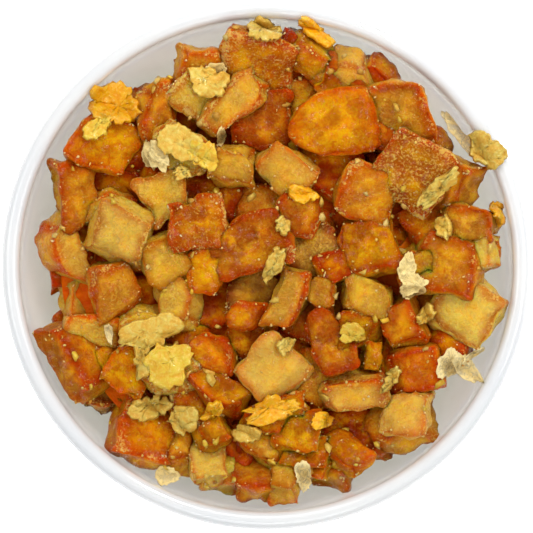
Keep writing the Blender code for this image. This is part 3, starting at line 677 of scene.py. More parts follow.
def shaped_die(corners, unit, chance):
    """A die's points in the bowl, with how near the zest and how near an edge each lies, from 0 to 1."""
    look = bpy.context.scene.peel_dice
    frame_of = np.array([corner[:] for corner in corners])
    axes = []
    for axis in range(3):
        bit = 1 << axis
        high = [frame_of[i] for i in range(8) if i & bit]
        low = [frame_of[i] for i in range(8) if not i & bit]
        axes.append((np.mean(high, axis=0) - np.mean(low, axis=0)) / 2)
    half = np.array([np.linalg.norm(axis) for axis in axes])
    turn = np.array([axis / size for axis, size in zip(axes, half)])

    # Softened edges, and some dice rounder than others
    local = np.sin(unit * 1.3) / math.sin(1.3) * half
    radius = min(look.rounding * chance.uniform(0.5, 1.5), 0.6 * half.min())
    inner = np.clip(local, -(half - radius), half - radius)
    away = local - inner
    normal = away / np.maximum(np.linalg.norm(away, axis=1), 1e-9)[:, None]
    local = inner + normal * radius
    pebble = unit / np.linalg.norm(unit, axis=1)[:, None]
    roundness = look.roundness * chance.uniform(0.3, 1.6)
    local = local * (1.0 - roundness) + pebble * half * 1.22 * roundness
    normal = normal * (1.0 - roundness) + pebble * roundness
    normal /= np.linalg.norm(normal, axis=1)[:, None]
    rind = (local[:, 2] / half[2] + 1.0) / 2.0
    edge = np.sort(np.abs(unit), axis=1)[:, 1]

    # A taper, and chips off corners and edges
    local[:, :2] *= 1.0 + chance.uniform(-0.12, 0.1) * (local[:, 2] / half[2])[:, None]
    for _ in range(chance.choice((3, 4, 5, 6))):
        chip = np.array([chance.uniform(-1, 1), chance.uniform(-1, 1), chance.uniform(-0.8, 0.8)])
        chip = chip / half
        chip /= np.linalg.norm(chip)
        reach = local @ chip
        limit = reach.max() * chance.uniform(0.58, 0.86)
        local -= np.outer(np.maximum(reach - limit, 0.0) * 0.85, chip)

    # Cut sides shrink in most where the pith is, and the ends curl
    side = np.clip(np.hypot(normal[:, 0], normal[:, 1]), 0.0, 1.0)
    waist = look.waist * chance.uniform(0.3, 1.5) * np.sin(np.clip(rind * 1.15, 0, 1) * math.pi)
    local[:, :2] -= normal[:, :2] * (side * waist)[:, None]
    curl = look.curl * chance.choice((-0.6, 0.5, 1.0, 1.2)) * chance.uniform(0.5, 1.2)
    local[:, 2] -= curl * (unit[:, 0] ** 2 + 0.5 * unit[:, 1] ** 2 - 0.5)

    # Into the bowl, with the corners where the knife left them
    share = (local / half * look.swelling + 1.0) / 2.0
    points = np.zeros_like(local)
    for index in range(8):
        step = np.array([index & 1, (index >> 1) & 1, (index >> 2) & 1])
        points += np.prod(np.where(step, share, 1.0 - share), axis=1)[:, None] * frame_of[index]

    # Swellings, wrinkles and a ragged edge
    outward = normal @ turn
    seed = chance.randrange(1000)
    depth = 1.7 * ripple(points, 4.6 * MM, seed) + 1.1 * ripple(points, 2.3 * MM, seed + 1)
    depth += (0.4 + 0.9 * edge**5) * ripple(points, 1.0 * MM, seed + 2)
    swell = look.wrinkle * chance.uniform(0.7, 1.3)
    return points + outward * (depth * swell)[:, None], rind, edge


def linked(name, data):
    """Mesh, light or camera data as an object of that name in the scene."""
    made = bpy.data.objects.new(name, data)
    bpy.context.scene.collection.objects.link(made)
    return made


def mesh_object(name, mesh):
    """An object from a finished bmesh, which is freed."""
    data = bpy.data.meshes.new(name)
    mesh.to_mesh(data)
    mesh.free()
    return linked(name, data)


def joined_object(name, points, faces):
    """A smooth object from the points and faces of many copies of one reshaped primitive."""
    data = bpy.data.meshes.new(name)
    data.from_pydata(np.concatenate(points).tolist(), [], np.concatenate(faces).tolist())
    data.shade_smooth()
    return linked(name, data)


def die_colours(die, chance):
    """The colours of a die's skin and flesh, each shifted a little from its kind's."""
    colours = bpy.context.scene.peel_colours
    # Hidden dice mostly take the deep colour, partly as painted shade for the gaps
    kind = die.kind if die.kind != "fill" else chance.choice(("deep", "orange", "amber", "deep"))
    own = Vector(getattr(colours, kind))
    skin, flesh = (own, own.lerp(colours.yellow, 0.45)) if die.up == "zest" else (Vector(colours.rim), own)
    shade = chance.uniform(0.52, 0.78) + 0.2 * MILK[die.kind]
    warmth = chance.uniform(0.93, 1.07)
    shift = Vector((shade, shade * warmth, shade * warmth))
    return skin * shift, flesh * shift


def dice_object(name, dice, cuts, seed):
    """Dice of one kind as one mesh, with their colours, depth and frost on its points."""
    chance = random.Random(seed)
    unit, faces = unit_block(cuts)
    points, rinds, edges, skins, fleshes, frosts, milks, all_faces = [], [], [], [], [], [], [], []
    for index, (die, corners) in enumerate(dice):
        shaped, rind, edge = shaped_die(corners, unit, chance)
        skin, flesh = die_colours(die, chance)
        points.append(shaped)
        rinds.append(rind)
        edges.append(edge)
        milks.append(np.full(len(unit), MILK[die.kind] * chance.uniform(0.6, 1.2)))
        skins.append(np.tile([*skin, 1.0], (len(unit), 1)))
        fleshes.append(np.tile([*flesh, 1.0], (len(unit), 1)))
        frosts.append(np.full(len(unit), die.frost))
        all_faces.append(faces + index * len(unit))
    made = joined_object(name, points, all_faces)
    numbers = {"rind": rinds, "edge": edges, "milk": milks, "frost": frosts}
    mark_points(
        made,
        {label: np.concatenate(values) for label, values in numbers.items()},
        {"skin": np.concatenate(skins), "flesh": np.concatenate(fleshes)},
    )
    return made


def heap_tree():
    """The dice as one tree of faces, so that thin pieces can be laid on them."""
    points, faces = [], []
    for piece in bpy.context.scene.objects:
        if piece.name.endswith("_dice") or piece.name == "porcelain_bowl":
            start = len(points)
            points.extend(vertex.co[:] for vertex in piece.data.vertices)
            faces.extend([start + index for index in face.vertices] for face in piece.data.polygons)
    return BVHTree.FromPolygons(points, faces)


def height_under(tree, across, down, floor):
    """The height of the dice under a point, or floor where they lie lower."""
    hit = tree.ray_cast(Vector((across, down, 0.1)), Vector((0, 0, -1)))[0]
    return max(hit.z, floor) if hit else floor


def spun(profile, steps, merge):
    """A profile of (radius, height) points, spun once round the Z axis and merged where it meets itself."""
    mesh = bmesh.new()
    points = [mesh.verts.new((radius, 0.0, height)) for radius, height in profile]
    edges = [mesh.edges.new(pair) for pair in zip(points, points[1:])]
    sweep = {"cent": (0, 0, 0), "axis": (0, 0, 1), "angle": math.tau, "steps": steps}
    bmesh.ops.spin(mesh, geom=points + edges, use_merge=True, **sweep)
    bmesh.ops.remove_doubles(mesh, verts=mesh.verts, dist=merge)
    return mesh


def unit_disc():
    """A flat disc of radius 1 as rings and spokes: its points, its faces and each point's neighbours."""
    mesh = spun([(ring / FLAKE_RINGS, 0.0) for ring in range(FLAKE_RINGS + 1)], FLAKE_SPOKES, 0.001)
    bmesh.ops.triangulate(mesh, faces=mesh.faces)
    bmesh.ops.recalc_face_normals(mesh, faces=mesh.faces)
    mesh.verts.ensure_lookup_table()
    mesh.verts.index_update()
    points = np.array([vertex.co[:] for vertex in mesh.verts])
    faces = np.array([[vertex.index for vertex in face.verts] for face in mesh.faces])
    pairs = np.array([[vertex.index for vertex in edge.verts] for edge in mesh.edges])
    mesh.free()
    return points, faces, pairs


def torn_flake(flake, disc, tree, chance):
    """A flake's points, laid over the dice, and how near its edge each lies."""
    unit, _, pairs = disc
    place = spot(flake.across, flake.down)
    top = height_under(tree, place.x, place.y, GAP_MOUTH)
    seed = chance.randrange(1000)
    share = np.linalg.norm(unit, axis=1)
    rim = unit / np.maximum(share, 1e-6)[:, None]
    reach = 1.0 + 0.26 * ripple(rim, 0.9, seed)
    reach = reach + 0.16 * ripple(rim, 0.35, seed + 1) + 0.14 * ripple(rim, 0.12, seed + 4)
    turn = math.radians(flake.turn)
    across = unit[:, 0] * reach * flake.length * MM / 2
    down = unit[:, 1] * reach * flake.width * MM / 2
    points = np.zeros_like(unit)
    points[:, 0] = place.x + across * math.cos(turn) - down * math.sin(turn)
    points[:, 1] = place.y + across * math.sin(turn) + down * math.cos(turn)
    ground = np.array([height_under(tree, x, y, top - SAG) for x, y, _ in points])
    drape = ground.copy()
    touching = np.bincount(pairs.ravel(), minlength=len(unit))
    for _ in range(SAG_ROUNDS):
        total = np.bincount(pairs[:, 0], drape[pairs[:, 1]], len(unit))
        total += np.bincount(pairs[:, 1], drape[pairs[:, 0]], len(unit))
        drape = np.maximum(total / touching, ground)
    crumple = ripple(points, 1.8 * MM, seed + 2) + 0.4 * ripple(points, 0.8 * MM, seed + 3)
    rise = FLAKE_RISE + flake.lift * MM * (0.6 * crumple + 0.4 * share**2)
    points[:, 2] = drape + np.maximum(rise, FLAKE_CLEARANCE)
    return points, share


def flake_object(name, kinds, thickness, seed):
    """Flakes of some kinds as one mesh, with their colour and how near the edge each point lies."""
    colours = bpy.context.scene.peel_colours
    chance = random.Random(seed)
    tree = heap_tree()
    disc = unit_disc()
    points, faces, edges, tints = [], [], [], []
    for flake in FLAKES:
        if flake.kind in kinds:
            shape, edge = torn_flake(flake, disc, tree, chance)
            tint = Vector(getattr(colours, flake.kind)) * chance.uniform(0.8, 0.98)
            faces.append(disc[1] + len(points) * len(shape))
            points.append(shape)
            edges.append(edge)
            tints.append(np.tile([*tint, 1.0], (len(shape), 1)))
    made = joined_object(name, points, faces)
    mark_points(made, {"edge": np.concatenate(edges)}, {"skin": np.concatenate(tints)})
    solid = made.modifiers.new("thickness", "SOLIDIFY")
    solid.thickness = thickness
    solid.offset = 1.0
    return made


def crumb_object(name, count, sizes, shades, seed):
    """Crumbs stuck to the dice, most of them along upper edges and on crusted dice."""
    colours = bpy.context.scene.peel_colours
    chance = random.Random(seed)
    mesh = bmesh.new()
    bmesh.ops.create_icosphere(mesh, subdivisions=1, radius=1.0)
    ball = np.array([vertex.co[:] for vertex in mesh.verts])
    ball_faces = np.array([[vertex.index for vertex in face.verts] for face in mesh.faces])
    mesh.free()
    anywhere, at_edge, on_frost = PERCH_CHANCES
    perches = []
    for kind in KINDS:
        data = bpy.data.objects[f"{kind}_dice"].data
        edges = data.attributes["edge"].data
        frosts = data.attributes["frost"].data
        for vertex, edge, frost in zip(data.vertices, edges, frosts):
            if vertex.normal.z > PERCH_SLOPE and vertex.co.z > PERCH_HEIGHT:
                if chance.random() < anywhere + at_edge * edge.value**8 + on_frost * frost.value**2:
                    perches.append((vertex.co.copy(), vertex.normal.copy()))
    points, faces, tints = [], [], []
    for index in range(count):
        place, normal = chance.choice(perches)
        size = chance.uniform(*sizes)
        stretch = np.array([chance.uniform(0.7, 1.6), chance.uniform(0.6, 1.2), chance.uniform(0.4, 0.9)])
        jitter = 1.0 + 0.6 * np.array([chance.uniform(-1, 1) for _ in ball])
        spin = Matrix.Rotation(chance.uniform(0, math.tau), 3, "Z")
        tilt = normal.to_track_quat("Z", "Y").to_matrix() @ spin
        shape = (ball * jitter[:, None] * stretch * size) @ np.array(tilt).T
        points.append(shape + np.array(place[:]) + np.array(normal[:]) * size * 0.2)
        faces.append(ball_faces + index * len(ball))
        tint = Vector(getattr(colours, chance.choice(shades))) * chance.uniform(0.65, 0.95)
        tints.append(np.tile([*tint, 1.0], (len(ball), 1)))
    made = joined_object(name, points, faces)
    mark_points(made, {"edge": np.zeros(count * len(ball))}, {"skin": np.concatenate(tints)})
    return made


def mark_points(made, numbers, colours):
    """Stores named numbers and colours on an object's points."""
    for label, values in numbers.items():
        made.data.attributes.new(label, "FLOAT", "POINT").data.foreach_set("value", values)
    for label, values in colours.items():
        made.data.attributes.new(label, "FLOAT_COLOR", "POINT").data.foreach_set("color", values.ravel())


class Graph:
    """A material's nodes. A node's inputs are given by name, as values or as other nodes' outputs."""

    def __init__(self, name):
        self.material = bpy.data.materials.new(name)
        self.material.use_nodes = True
        self.tree = self.material.node_tree
        self.shader = self.tree.nodes["Principled BSDF"]

    def set(self, node, inputs):
        for key, value in inputs.items():
            if isinstance(value, bpy.types.NodeSocket):
                self.tree.links.new(value, node.inputs[key])
            else:
                node.inputs[key].default_value = value
        return node

    def add(self, kind, inputs=None, **settings):
        node = self.tree.nodes.new(kind)
        for key, value in settings.items():
            setattr(node, key, value)
        return self.set(node, inputs or {})

    def where(self):
        return self.add("ShaderNodeTexCoord").outputs["Object"]

    def noise(self, place, scale, detail=3.0, roughness=0.5, distortion=0.0):
        inputs = {"Vector": place, "Scale": scale, "Detail": detail}
        inputs.update({"Roughness": roughness, "Distortion": distortion})
        return self.add("ShaderNodeTexNoise", inputs).outputs["Fac"]

    def math(self, operation, first, second=0.0, third=0.0, clamp=False):
        inputs = {0: first, 1: second, 2: third}
        return self.add("ShaderNodeMath", inputs, operation=operation, use_clamp=clamp).outputs[0]

    def times(self, first, second, clamp=False):
        return self.math("MULTIPLY", first, second, clamp=clamp)

    def sum(self, first, share, second, clamp=False):
        """The first value times a share, plus the second."""
        return self.math("MULTIPLY_ADD", first, share, second, clamp)

    def about(self, value, share, base):
        """A noise that swings about 0.5, as an equal swing up and down round a base."""
        return self.sum(self.math("SUBTRACT", value, 0.5), share, base)

    def ramp(self, value, low, high, start=0.0, end=1.0):
        inputs = {"Value": value, "From Min": low, "From Max": high, "To Min": start, "To Max": end}
        return self.add("ShaderNodeMapRange", inputs, interpolation_type="SMOOTHSTEP").outputs["Result"]

    def mix(self, share, first, second, blend="MIX"):
        node = self.add("ShaderNodeMix", data_type="RGBA", blend_type=blend)
        self.set(node, {0: share, 6: first, 7: second})
        return node.outputs[2]

    def attribute(self, name, output="Fac"):
        return self.add("ShaderNodeAttribute", attribute_name=name).outputs[output]

    def bump(self, height, distance, strength=1.0):
        inputs = {"Height": height, "Distance": distance, "Strength": strength}
        return self.add("ShaderNodeBump", inputs).outputs[0]

    def tone(self, share, base, *levels):
        """Darkens a colour by a share of another, given as 0 to 255."""
        return self.mix(share, base, rgba(srgb(*levels)), "MULTIPLY")


def rgba(colour):
    return (*colour, 1.0)


def peel_material():
    """Candied peel: wet under broken gloss, pitted on its skin, fibrous in its pith, crusted in places."""
    colours = bpy.context.scene.peel_colours
    graph = Graph("wet_peel")
    place = graph.where()
    lumps = graph.noise(place, 240, 2.0)
    blots = graph.noise(place, 640, 3.0, 0.6, 0.6)
    grain = graph.noise(place, 2400, 3.0, 0.6)
    threads = graph.noise(place, 1100, 4.0, 0.65, 1.6)
    film = graph.noise(place, 900, 1.5, 0.5, 0.8)
    pores = graph.add("ShaderNodeTexVoronoi", {"Vector": place, "Scale": 1150.0}, feature="F1")
    milk = graph.attribute("milk")

    # Colour: skin over flesh, milky inside with a painted broad highlight, a painted glow in bright patches
    # and at the edges, clear and dark in places, threaded where it is milky
    depth = graph.about(blots, 0.5, graph.attribute("rind"))
    edge = graph.about(lumps, 0.9, graph.attribute("edge"))
    edge = graph.about(blots, 0.4, edge)
    is_skin = graph.ramp(depth, 0.66, 0.84)
    colour = graph.mix(is_skin, graph.attribute("flesh", "Color"), graph.attribute("skin", "Color"))
    edge_band = graph.times(graph.ramp(depth, 0.58, 0.76), graph.ramp(depth, 0.82, 0.98, 1.0, 0.0))
    colour = graph.mix(graph.times(edge_band, 0.5), colour, rgba(colours.rim))
    # Milky pith, pale in the middles of the dice: partly real milky pith and partly a painted broad highlight
    milky = graph.times(milk, graph.ramp(edge, 0.3, 0.9, 1.6, 0.0))
    milky = graph.times(milky, graph.ramp(threads, 0.34, 0.62, 0.3, 1.0), clamp=True)
    colour = graph.mix(milky, colour, rgba(colours.milk))
    # Painted glow at the edges: they are made a deeper, redder orange, as light shining through the thin peel
    # there
    painted_edge_glow = graph.times(graph.ramp(edge, 0.4, 0.95), 0.9)
    colour = graph.tone(painted_edge_glow, colour, 252, 168, 6)
    plain = graph.sum(milk, -0.8, 1.0, clamp=True)
    shade = graph.times(graph.ramp(lumps, 0.35, 0.65, 0.7, 0.0), plain)
    colour = graph.tone(shade, colour, 222, 190, 100)
    colour = graph.tone(graph.ramp(grain, 0.36, 0.6, 0.22, 0.0), colour, 232, 190, 90)
    # Painted glow: bright patches away from the edges stand in for light shining through the peel
    patches = graph.sum(blots, 0.35, lumps)
    glow = graph.times(graph.ramp(edge, 0.25, 0.9, 0.7, 0.0), graph.ramp(patches, 0.56, 0.86))
    colour = graph.mix(glow, colour, rgba(colours.glow))
    clear = graph.ramp(graph.sum(lumps, 0.5, blots), 0.56, 0.98, 0.85, 0.0)
    clear = graph.times(clear, graph.math("SUBTRACT", 1.0, milk))
    colour = graph.tone(clear, colour, 236, 158, 22)
    fibre = graph.times(graph.ramp(threads, 0.54, 0.72), graph.times(milk, 0.8))
    colour = graph.mix(fibre, colour, rgba(colours.sugar))

    # Sugar crust where there is frost, and along some edges
    sugary = graph.sum(graph.attribute("frost"), 0.3, graph.sum(grain, 0.7, graph.times(threads, 0.55)))
    edges = graph.times(graph.ramp(edge, 0.6, 1.1), graph.ramp(lumps, 0.4, 0.62))
    crust = graph.ramp(graph.sum(edges, 0.2, sugary), 0.8, 0.98)
    colour = graph.mix(graph.times(crust, 0.6), colour, rgba(colours.sugar))

    # Relief: a body with pits in its skin, and a wet film over it with bumps of its own
    relief = graph.sum(grain, 0.15, graph.sum(threads, 0.7, blots))
    pits = graph.times(graph.ramp(pores.outputs["Distance"], 0.0, 0.5), graph.times(is_skin, 0.35))
    relief = graph.math("ADD", relief, pits)
    relief = graph.sum(crust, 0.4, relief)
    body = graph.bump(relief, 0.5 * MM)
    wet = graph.bump(graph.sum(grain, 0.2, graph.sum(threads, 0.6, film)), 0.6 * MM)
    graph.set(
        graph.shader,
        {
            "Base Color": colour,
            "Roughness": graph.sum(crust, 0.35, 0.28),
            "IOR": 1.46,
            "Normal": body,
            "Specular Tint": (1.0, 0.6, 0.18, 1.0),
            "Specular IOR Level": 0.18,
            "Subsurface Weight": 1.0,
            "Subsurface Radius": (1.0, 0.6, 0.15),
            "Subsurface Scale": 3.5 * MM,
            "Coat Weight": graph.ramp(film, 0.56, 0.62),
            "Coat Roughness": 0.06,
            "Coat IOR": 1.5,
            "Coat Tint": (1.0, 0.88, 0.55, 1.0),
            "Coat Normal": wet,
        },
    )
    return graph.material


def flake_material():
    """Soft torn flakes and crumbs: waxy, pitted and a little glossy, too thin to glow as the dice do."""
    colours = bpy.context.scene.peel_colours
    graph = Graph("soft_flake")
    place = graph.where()
    lumps = graph.noise(place, 700, 3.0, 0.6, 0.8)
    grain = graph.noise(place, 2200, 3.0, 0.6)
    edge = graph.attribute("edge")
    skin = graph.attribute("skin", "Color")
    colour = graph.tone(graph.ramp(lumps, 0.34, 0.66, 0.65, 0.0), skin, 246, 190, 90)
    bright = graph.times(graph.ramp(grain, 0.5, 0.74), graph.ramp(edge, 0.3, 1.0, 0.35, 0.8))
    colour = graph.mix(bright, colour, rgba(colours.sugar))
    graph.set(
        graph.shader,
        {
            "Base Color": colour,
            "Roughness": graph.ramp(grain, 0.3, 0.7, 0.25, 0.5),
            "Normal": graph.bump(graph.sum(grain, 0.3, lumps), 0.3 * MM),
            "Specular Tint": (1.0, 0.8, 0.45, 1.0),
            "Subsurface Weight": 0.4,
            "Subsurface Radius": (1.0, 1.0, 0.8),
            "Subsurface Scale": 0.4 * MM,
            "Coat Weight": graph.ramp(lumps, 0.5, 0.6, 0.0, 0.5),
            "Coat Roughness": 0.12,
        },
    )
    return graph.material


def membrane_material():
    """Dry, papery skins of fruit: pale, creased and partly see-through, more solid at their torn edges."""
    colours = bpy.context.scene.peel_colours
    graph = Graph("dry_membrane")
    place = graph.where()
    creases = graph.noise(place, 700, 3.0, 0.6, 1.2)
    veins = graph.noise(place, 1800, 2.0, 0.6, 2.0)
    skin = graph.attribute("skin", "Color")
    colour = graph.mix(graph.ramp(creases, 0.3, 0.7), skin, rgba(colours.membrane))
    edge = graph.ramp(graph.attribute("edge"), 0.7, 1.0)
    solid = graph.sum(edge, 0.4, graph.ramp(creases, 0.35, 0.62, 0.55, 1.0))
    graph.set(
        graph.shader,
        {
            "Base Color": colour,
            "Roughness": graph.ramp(veins, 0.3, 0.7, 0.25, 0.5),
            "Normal": graph.bump(graph.sum(veins, 0.5, creases), 0.35 * MM),
            "Coat Weight": 0.3,
            "Coat Roughness": 0.15,
            "Alpha": graph.math("MINIMUM", solid, 1.0),
        },
    )
    return graph.material


def syrup_material():
    """The glossy mass of peel and syrup between the dice, coloured dark red as painted shade in the gaps."""
    colours = bpy.context.scene.peel_colours
    graph = Graph("syrup_and_painted_shade")
    place = graph.where()
    lumps = graph.noise(place, 420, 3.0, 0.6)
    # Painted shade: the mass seen down the gaps is coloured dark red
    colour = graph.mix(graph.ramp(lumps, 0.35, 0.7), rgba(colours.syrup), rgba(colours.deep))
    graph.set(
        graph.shader,
        {
            "Base Color": colour,
            "Roughness": 0.35,
            "Normal": graph.bump(lumps, 0.8 * MM),
            "Specular Tint": (1.0, 0.45, 0.1, 1.0),
            "Specular IOR Level": 0.3,
            "Subsurface Weight": 0.6,
            "Subsurface Radius": (1.0, 0.35, 0.1),
            "Subsurface Scale": 3.0 * MM,
        },
    )
    return graph.material


def porcelain_material():
    """White glaze with a faint orange-peel ripple, thinning to bare porcelain under the foot."""
    bowl = bpy.context.scene.peel_bowl
    graph = Graph("glazed_porcelain")
    place = graph.where()
    ripples = graph.noise(place, 260, 2.0)
    tint = graph.noise(place, 60, 2.0)
    height = graph.add("ShaderNodeSeparateXYZ", {"Vector": place}).outputs["Z"]
    bare = graph.ramp(height, 0.15 * MM, 0.35 * MM, 1.0, 0.0)
    colour = graph.mix(graph.ramp(tint, 0.3, 0.7, 0.0, 0.25), rgba(bowl.glaze), rgba(srgb(246, 244, 238)))
    # Painted warm light: the inside of the bowl takes the lighter, warmer glaze
    colour = graph.mix(graph.attribute("well"), colour, rgba(bowl.glaze_painted_warm_light))
    colour = graph.mix(bare, colour, rgba(bowl.biscuit))
    rough = graph.math("ADD", graph.ramp(ripples, 0.3, 0.7, 0.1, 0.16), graph.times(bare, 0.6))
    graph.set(
        graph.shader,
        {
            "Base Color": colour,
            "Roughness": rough,
            "Normal": graph.bump(ripples, 0.02 * MM, 0.6),
            "IOR": 1.5,
            "Subsurface Weight": 1.0,
            "Subsurface Radius": (1.0, 1.0, 1.0),
            "Subsurface Scale": graph.ramp(graph.attribute("well"), 0.0, 0.6, 2.0 * MM, 30.0 * MM),
            "Coat Weight": graph.ramp(graph.attribute("well"), 0.0, 0.6, 0.6, 0.1),
            "Coat Roughness": 0.04,
        },
    )
    return graph.material


def floor_material():
    """The white sweep under the bowl, bright enough to burn out."""
    stage = bpy.context.scene.peel_stage
    graph = Graph("white_sweep")
    fibres = graph.noise(graph.where(), 300, 4.0)
    colour = graph.mix(graph.ramp(fibres, 0.3, 0.7), rgba(srgb(250, 250, 250)), rgba(srgb(246, 246, 246)))
    graph.set(
        graph.shader,
        {
            "Base Color": colour,
            "Roughness": 0.8,
            "Emission Color": (1.0, 1.0, 1.0, 1.0),
            "Emission Strength": stage.floor_glow,
        },
    )
    return graph.material


def shared_material(name, make):
    return bpy.data.materials.get(name) or make()


def bowl_profile():
    """The bowl's section as (radius, height) points, from its floor over the lip to its foot."""
    bowl = bpy.context.scene.peel_bowl
    lip = bowl.lip / 2
    inside = []
    for step in range(WALL_POINTS):
        height = bowl.height - lip - (bowl_depth() - lip) * math.cos(step / WALL_POINTS * math.pi / 2)
        inside.append((inner_radius(height), height))
    over_lip = []
    for step in range(LIP_POINTS + 1):
        angle = math.pi * (1.0 - step / LIP_POINTS)
        radius = mouth_radius() + lip + lip * math.cos(angle)
        over_lip.append((radius, bowl.height - lip + lip * math.sin(angle)))
    outside = []
    for step in range(1, WALL_POINTS):
        share = math.sin(step / (WALL_POINTS - 1) * math.pi / 2)
        radius = bowl.foot_radius + (bowl.rim_radius - bowl.foot_radius) * wall_radius(share)
        outside.append((radius, bowl.height - lip - (bowl.height - lip - bowl.foot_height) * share))
    inner_foot = bowl.foot_radius - bowl.foot_width
    foot = [
        (bowl.foot_radius - 0.1 * MM, 0.5 * MM),
        (bowl.foot_radius - 0.5 * MM, 0.0),
        (inner_foot + 0.5 * MM, 0.0),
        (inner_foot, 0.5 * MM),
        (inner_foot - 0.8 * MM, bowl.foot_recess),
        (0.0, bowl.foot_recess),
    ]
    return inside + over_lip + outside + foot


def turned(name, profile, segments):
    """A closed solid: a profile that starts and ends on the Z axis, spun once round it."""
    mesh = spun(profile, segments, 0.001 * MM)
    bmesh.ops.recalc_face_normals(mesh, faces=mesh.faces)
    made = mesh_object(name, mesh)
    made.data.shade_smooth()
    return made


def enter_piece(piece, material, node="peel_heap"):
    """Gives a finished piece its material, hangs it on the root body and hides the solid part that it stands
    in for.
    """
    piece.data.materials.append(material)
    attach(piece, "root")
    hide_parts(node)


class PEEL_OT_bowl(bpy.types.Operator):
    """Turns the glazed porcelain bowl on its foot ring"""

    bl_idname = "peel.bowl"
    bl_label = "Bowl"

    def execute(self, context):
        bowl = turned("porcelain_bowl", bowl_profile(), context.scene.peel_bowl.segments)
        bowl.data.set_sharp_from_angle(angle=math.radians(50))
        points = np.array([vertex.co[:] for vertex in bowl.data.vertices])
        walls = np.array([inner_radius(height) for height in points[:, 2]])
        inside = np.hypot(points[:, 0], points[:, 1]) < walls + 0.5 * MM
        mark_points(bowl, {"well": inside * np.clip((WELL_TOP - points[:, 2]) / WELL_DEPTH, 0.0, 1.0)}, {})
        enter_piece(bowl, shared_material("glazed_porcelain", porcelain_material), "bowl")
        return {"FINISHED"}


class PEEL_OT_core(bpy.types.Operator):
    """Fills the bowl with the lumpy mass under the dice, coloured dark as painted shade"""

    bl_idname = "peel.core"
    bl_label = "Core"

    def execute(self, context):
        bowl = context.scene.peel_bowl
        floor = bowl.height - bowl_depth() + WALL_GAP
        edge = inner_height(CORE_EDGE_RADIUS + WALL_GAP)
        profile = [(0.0, floor)]
        for step in range(1, CORE_STEPS + 1):
            height = floor + (edge - floor) * (1.0 - math.cos(step / CORE_STEPS * math.pi / 2))
            profile.append((inner_radius(height) - WALL_GAP, height))
        for step in range(1, CORE_RINGS + 1):
            radius = CORE_EDGE_RADIUS * (1.0 - step / CORE_RINGS)
            profile.append((radius, heap_height(Vector((0.0, radius, 0.0))) - CORE_SINK))
        core = turned("syrup_core", profile, CORE_SEGMENTS)
        points = np.empty(len(core.data.vertices) * 3)
        core.data.vertices.foreach_get("co", points)
        points = points.reshape(-1, 3)
        crown = points[:, 2] > edge - 2 * MM
        crown &= np.hypot(points[:, 0], points[:, 1]) < CORE_EDGE_RADIUS * 0.97
        lift = ripple(points, 6 * MM, 3) + 0.6 * ripple(points, 2.6 * MM, 4)
        points[:, 2] += np.where(crown, lift * CORE_LUMPS, 0.0)
        core.data.vertices.foreach_set("co", points.ravel())
        enter_piece(core, shared_material("syrup_and_painted_shade", syrup_material))
        return {"FINISHED"}


class PEEL_OT_fill(bpy.types.Operator):
    """Lays the hidden dice, seen only down the gaps"""

    bl_idname = "peel.fill"
    bl_label = "Fill"

    def execute(self, context):
        dice = [pair for pair in lay_dice() if pair[0].kind == "fill"]
        fill = dice_object("fill_dice", dice, FILL_CUTS, context.scene.peel_dice.seed)
        enter_piece(fill, shared_material("wet_peel", peel_material))
        return {"FINISHED"}


def build_kind(context, kind):
    """Lays the dice of one kind, as one piece."""
    dice = [pair for pair in lay_dice() if pair[0].kind == kind]
    look = context.scene.peel_dice
    made = dice_object(f"{kind}_dice", dice, look.cuts, look.seed + KINDS.index(kind))
    enter_piece(made, shared_material("wet_peel", peel_material))
    return {"FINISHED"}


class PEEL_OT_zest(bpy.types.Operator):
    """Lays the dice with rough, frosted skin up"""

    bl_idname = "peel.zest"
    bl_label = "Rough zest dice"

    def execute(self, context):
        return build_kind(context, "zest")


class PEEL_OT_golden(bpy.types.Operator):
    """Lays the dice with smooth golden skin"""

    bl_idname = "peel.golden"
    bl_label = "Golden dice"

    def execute(self, context):
        return build_kind(context, "golden")


class PEEL_OT_orange(bpy.types.Operator):
    """Lays the clear orange dice"""

    bl_idname = "peel.orange"
    bl_label = "Orange dice"

    def execute(self, context):
        return build_kind(context, "orange")


class PEEL_OT_amber(bpy.types.Operator):
    """Lays the clear amber dice"""

    bl_idname = "peel.amber"
    bl_label = "Amber dice"

    def execute(self, context):
        return build_kind(context, "amber")


class PEEL_OT_deep(bpy.types.Operator):
    """Lays the dark red dice, darker partly as painted shade, since most lie low in the gaps"""

    bl_idname = "peel.deep"
    bl_label = "Dark dice"

    def execute(self, context):
        return build_kind(context, "deep")


class PEEL_OT_tan(bpy.types.Operator):
    """Lays the dice that show browned pith"""

    bl_idname = "peel.tan"
    bl_label = "Tan dice"

    def execute(self, context):
        return build_kind(context, "tan")


class PEEL_OT_yellow(bpy.types.Operator):
    """Lays the dice that show bright yellow pith"""

    bl_idname = "peel.yellow"
    bl_label = "Yellow dice"

    def execute(self, context):
        return build_kind(context, "yellow")


class PEEL_OT_pith(bpy.types.Operator):
    """Lays the dice that show pale pith"""

    bl_idname = "peel.pith"
    bl_label = "Pith dice"

    def execute(self, context):
        return build_kind(context, "pith")


class PEEL_OT_mauve(bpy.types.Operator):
    """Lays the dull brown dice"""

    bl_idname = "peel.mauve"
    bl_label = "Dull dice"

    def execute(self, context):
        return build_kind(context, "mauve")


class PEEL_OT_flakes(bpy.types.Operator):
    """Lays the soft, torn flakes of peel on the dice"""

    bl_idname = "peel.flakes"
    bl_label = "Flakes"

    def execute(self, context):
        kinds = ("golden", "yellow", "flake")
        flakes = flake_object("torn_flakes", kinds, FLAKE_THICKNESS, context.scene.peel_dice.seed)
        enter_piece(flakes, shared_material("soft_flake", flake_material))
        return {"FINISHED"}


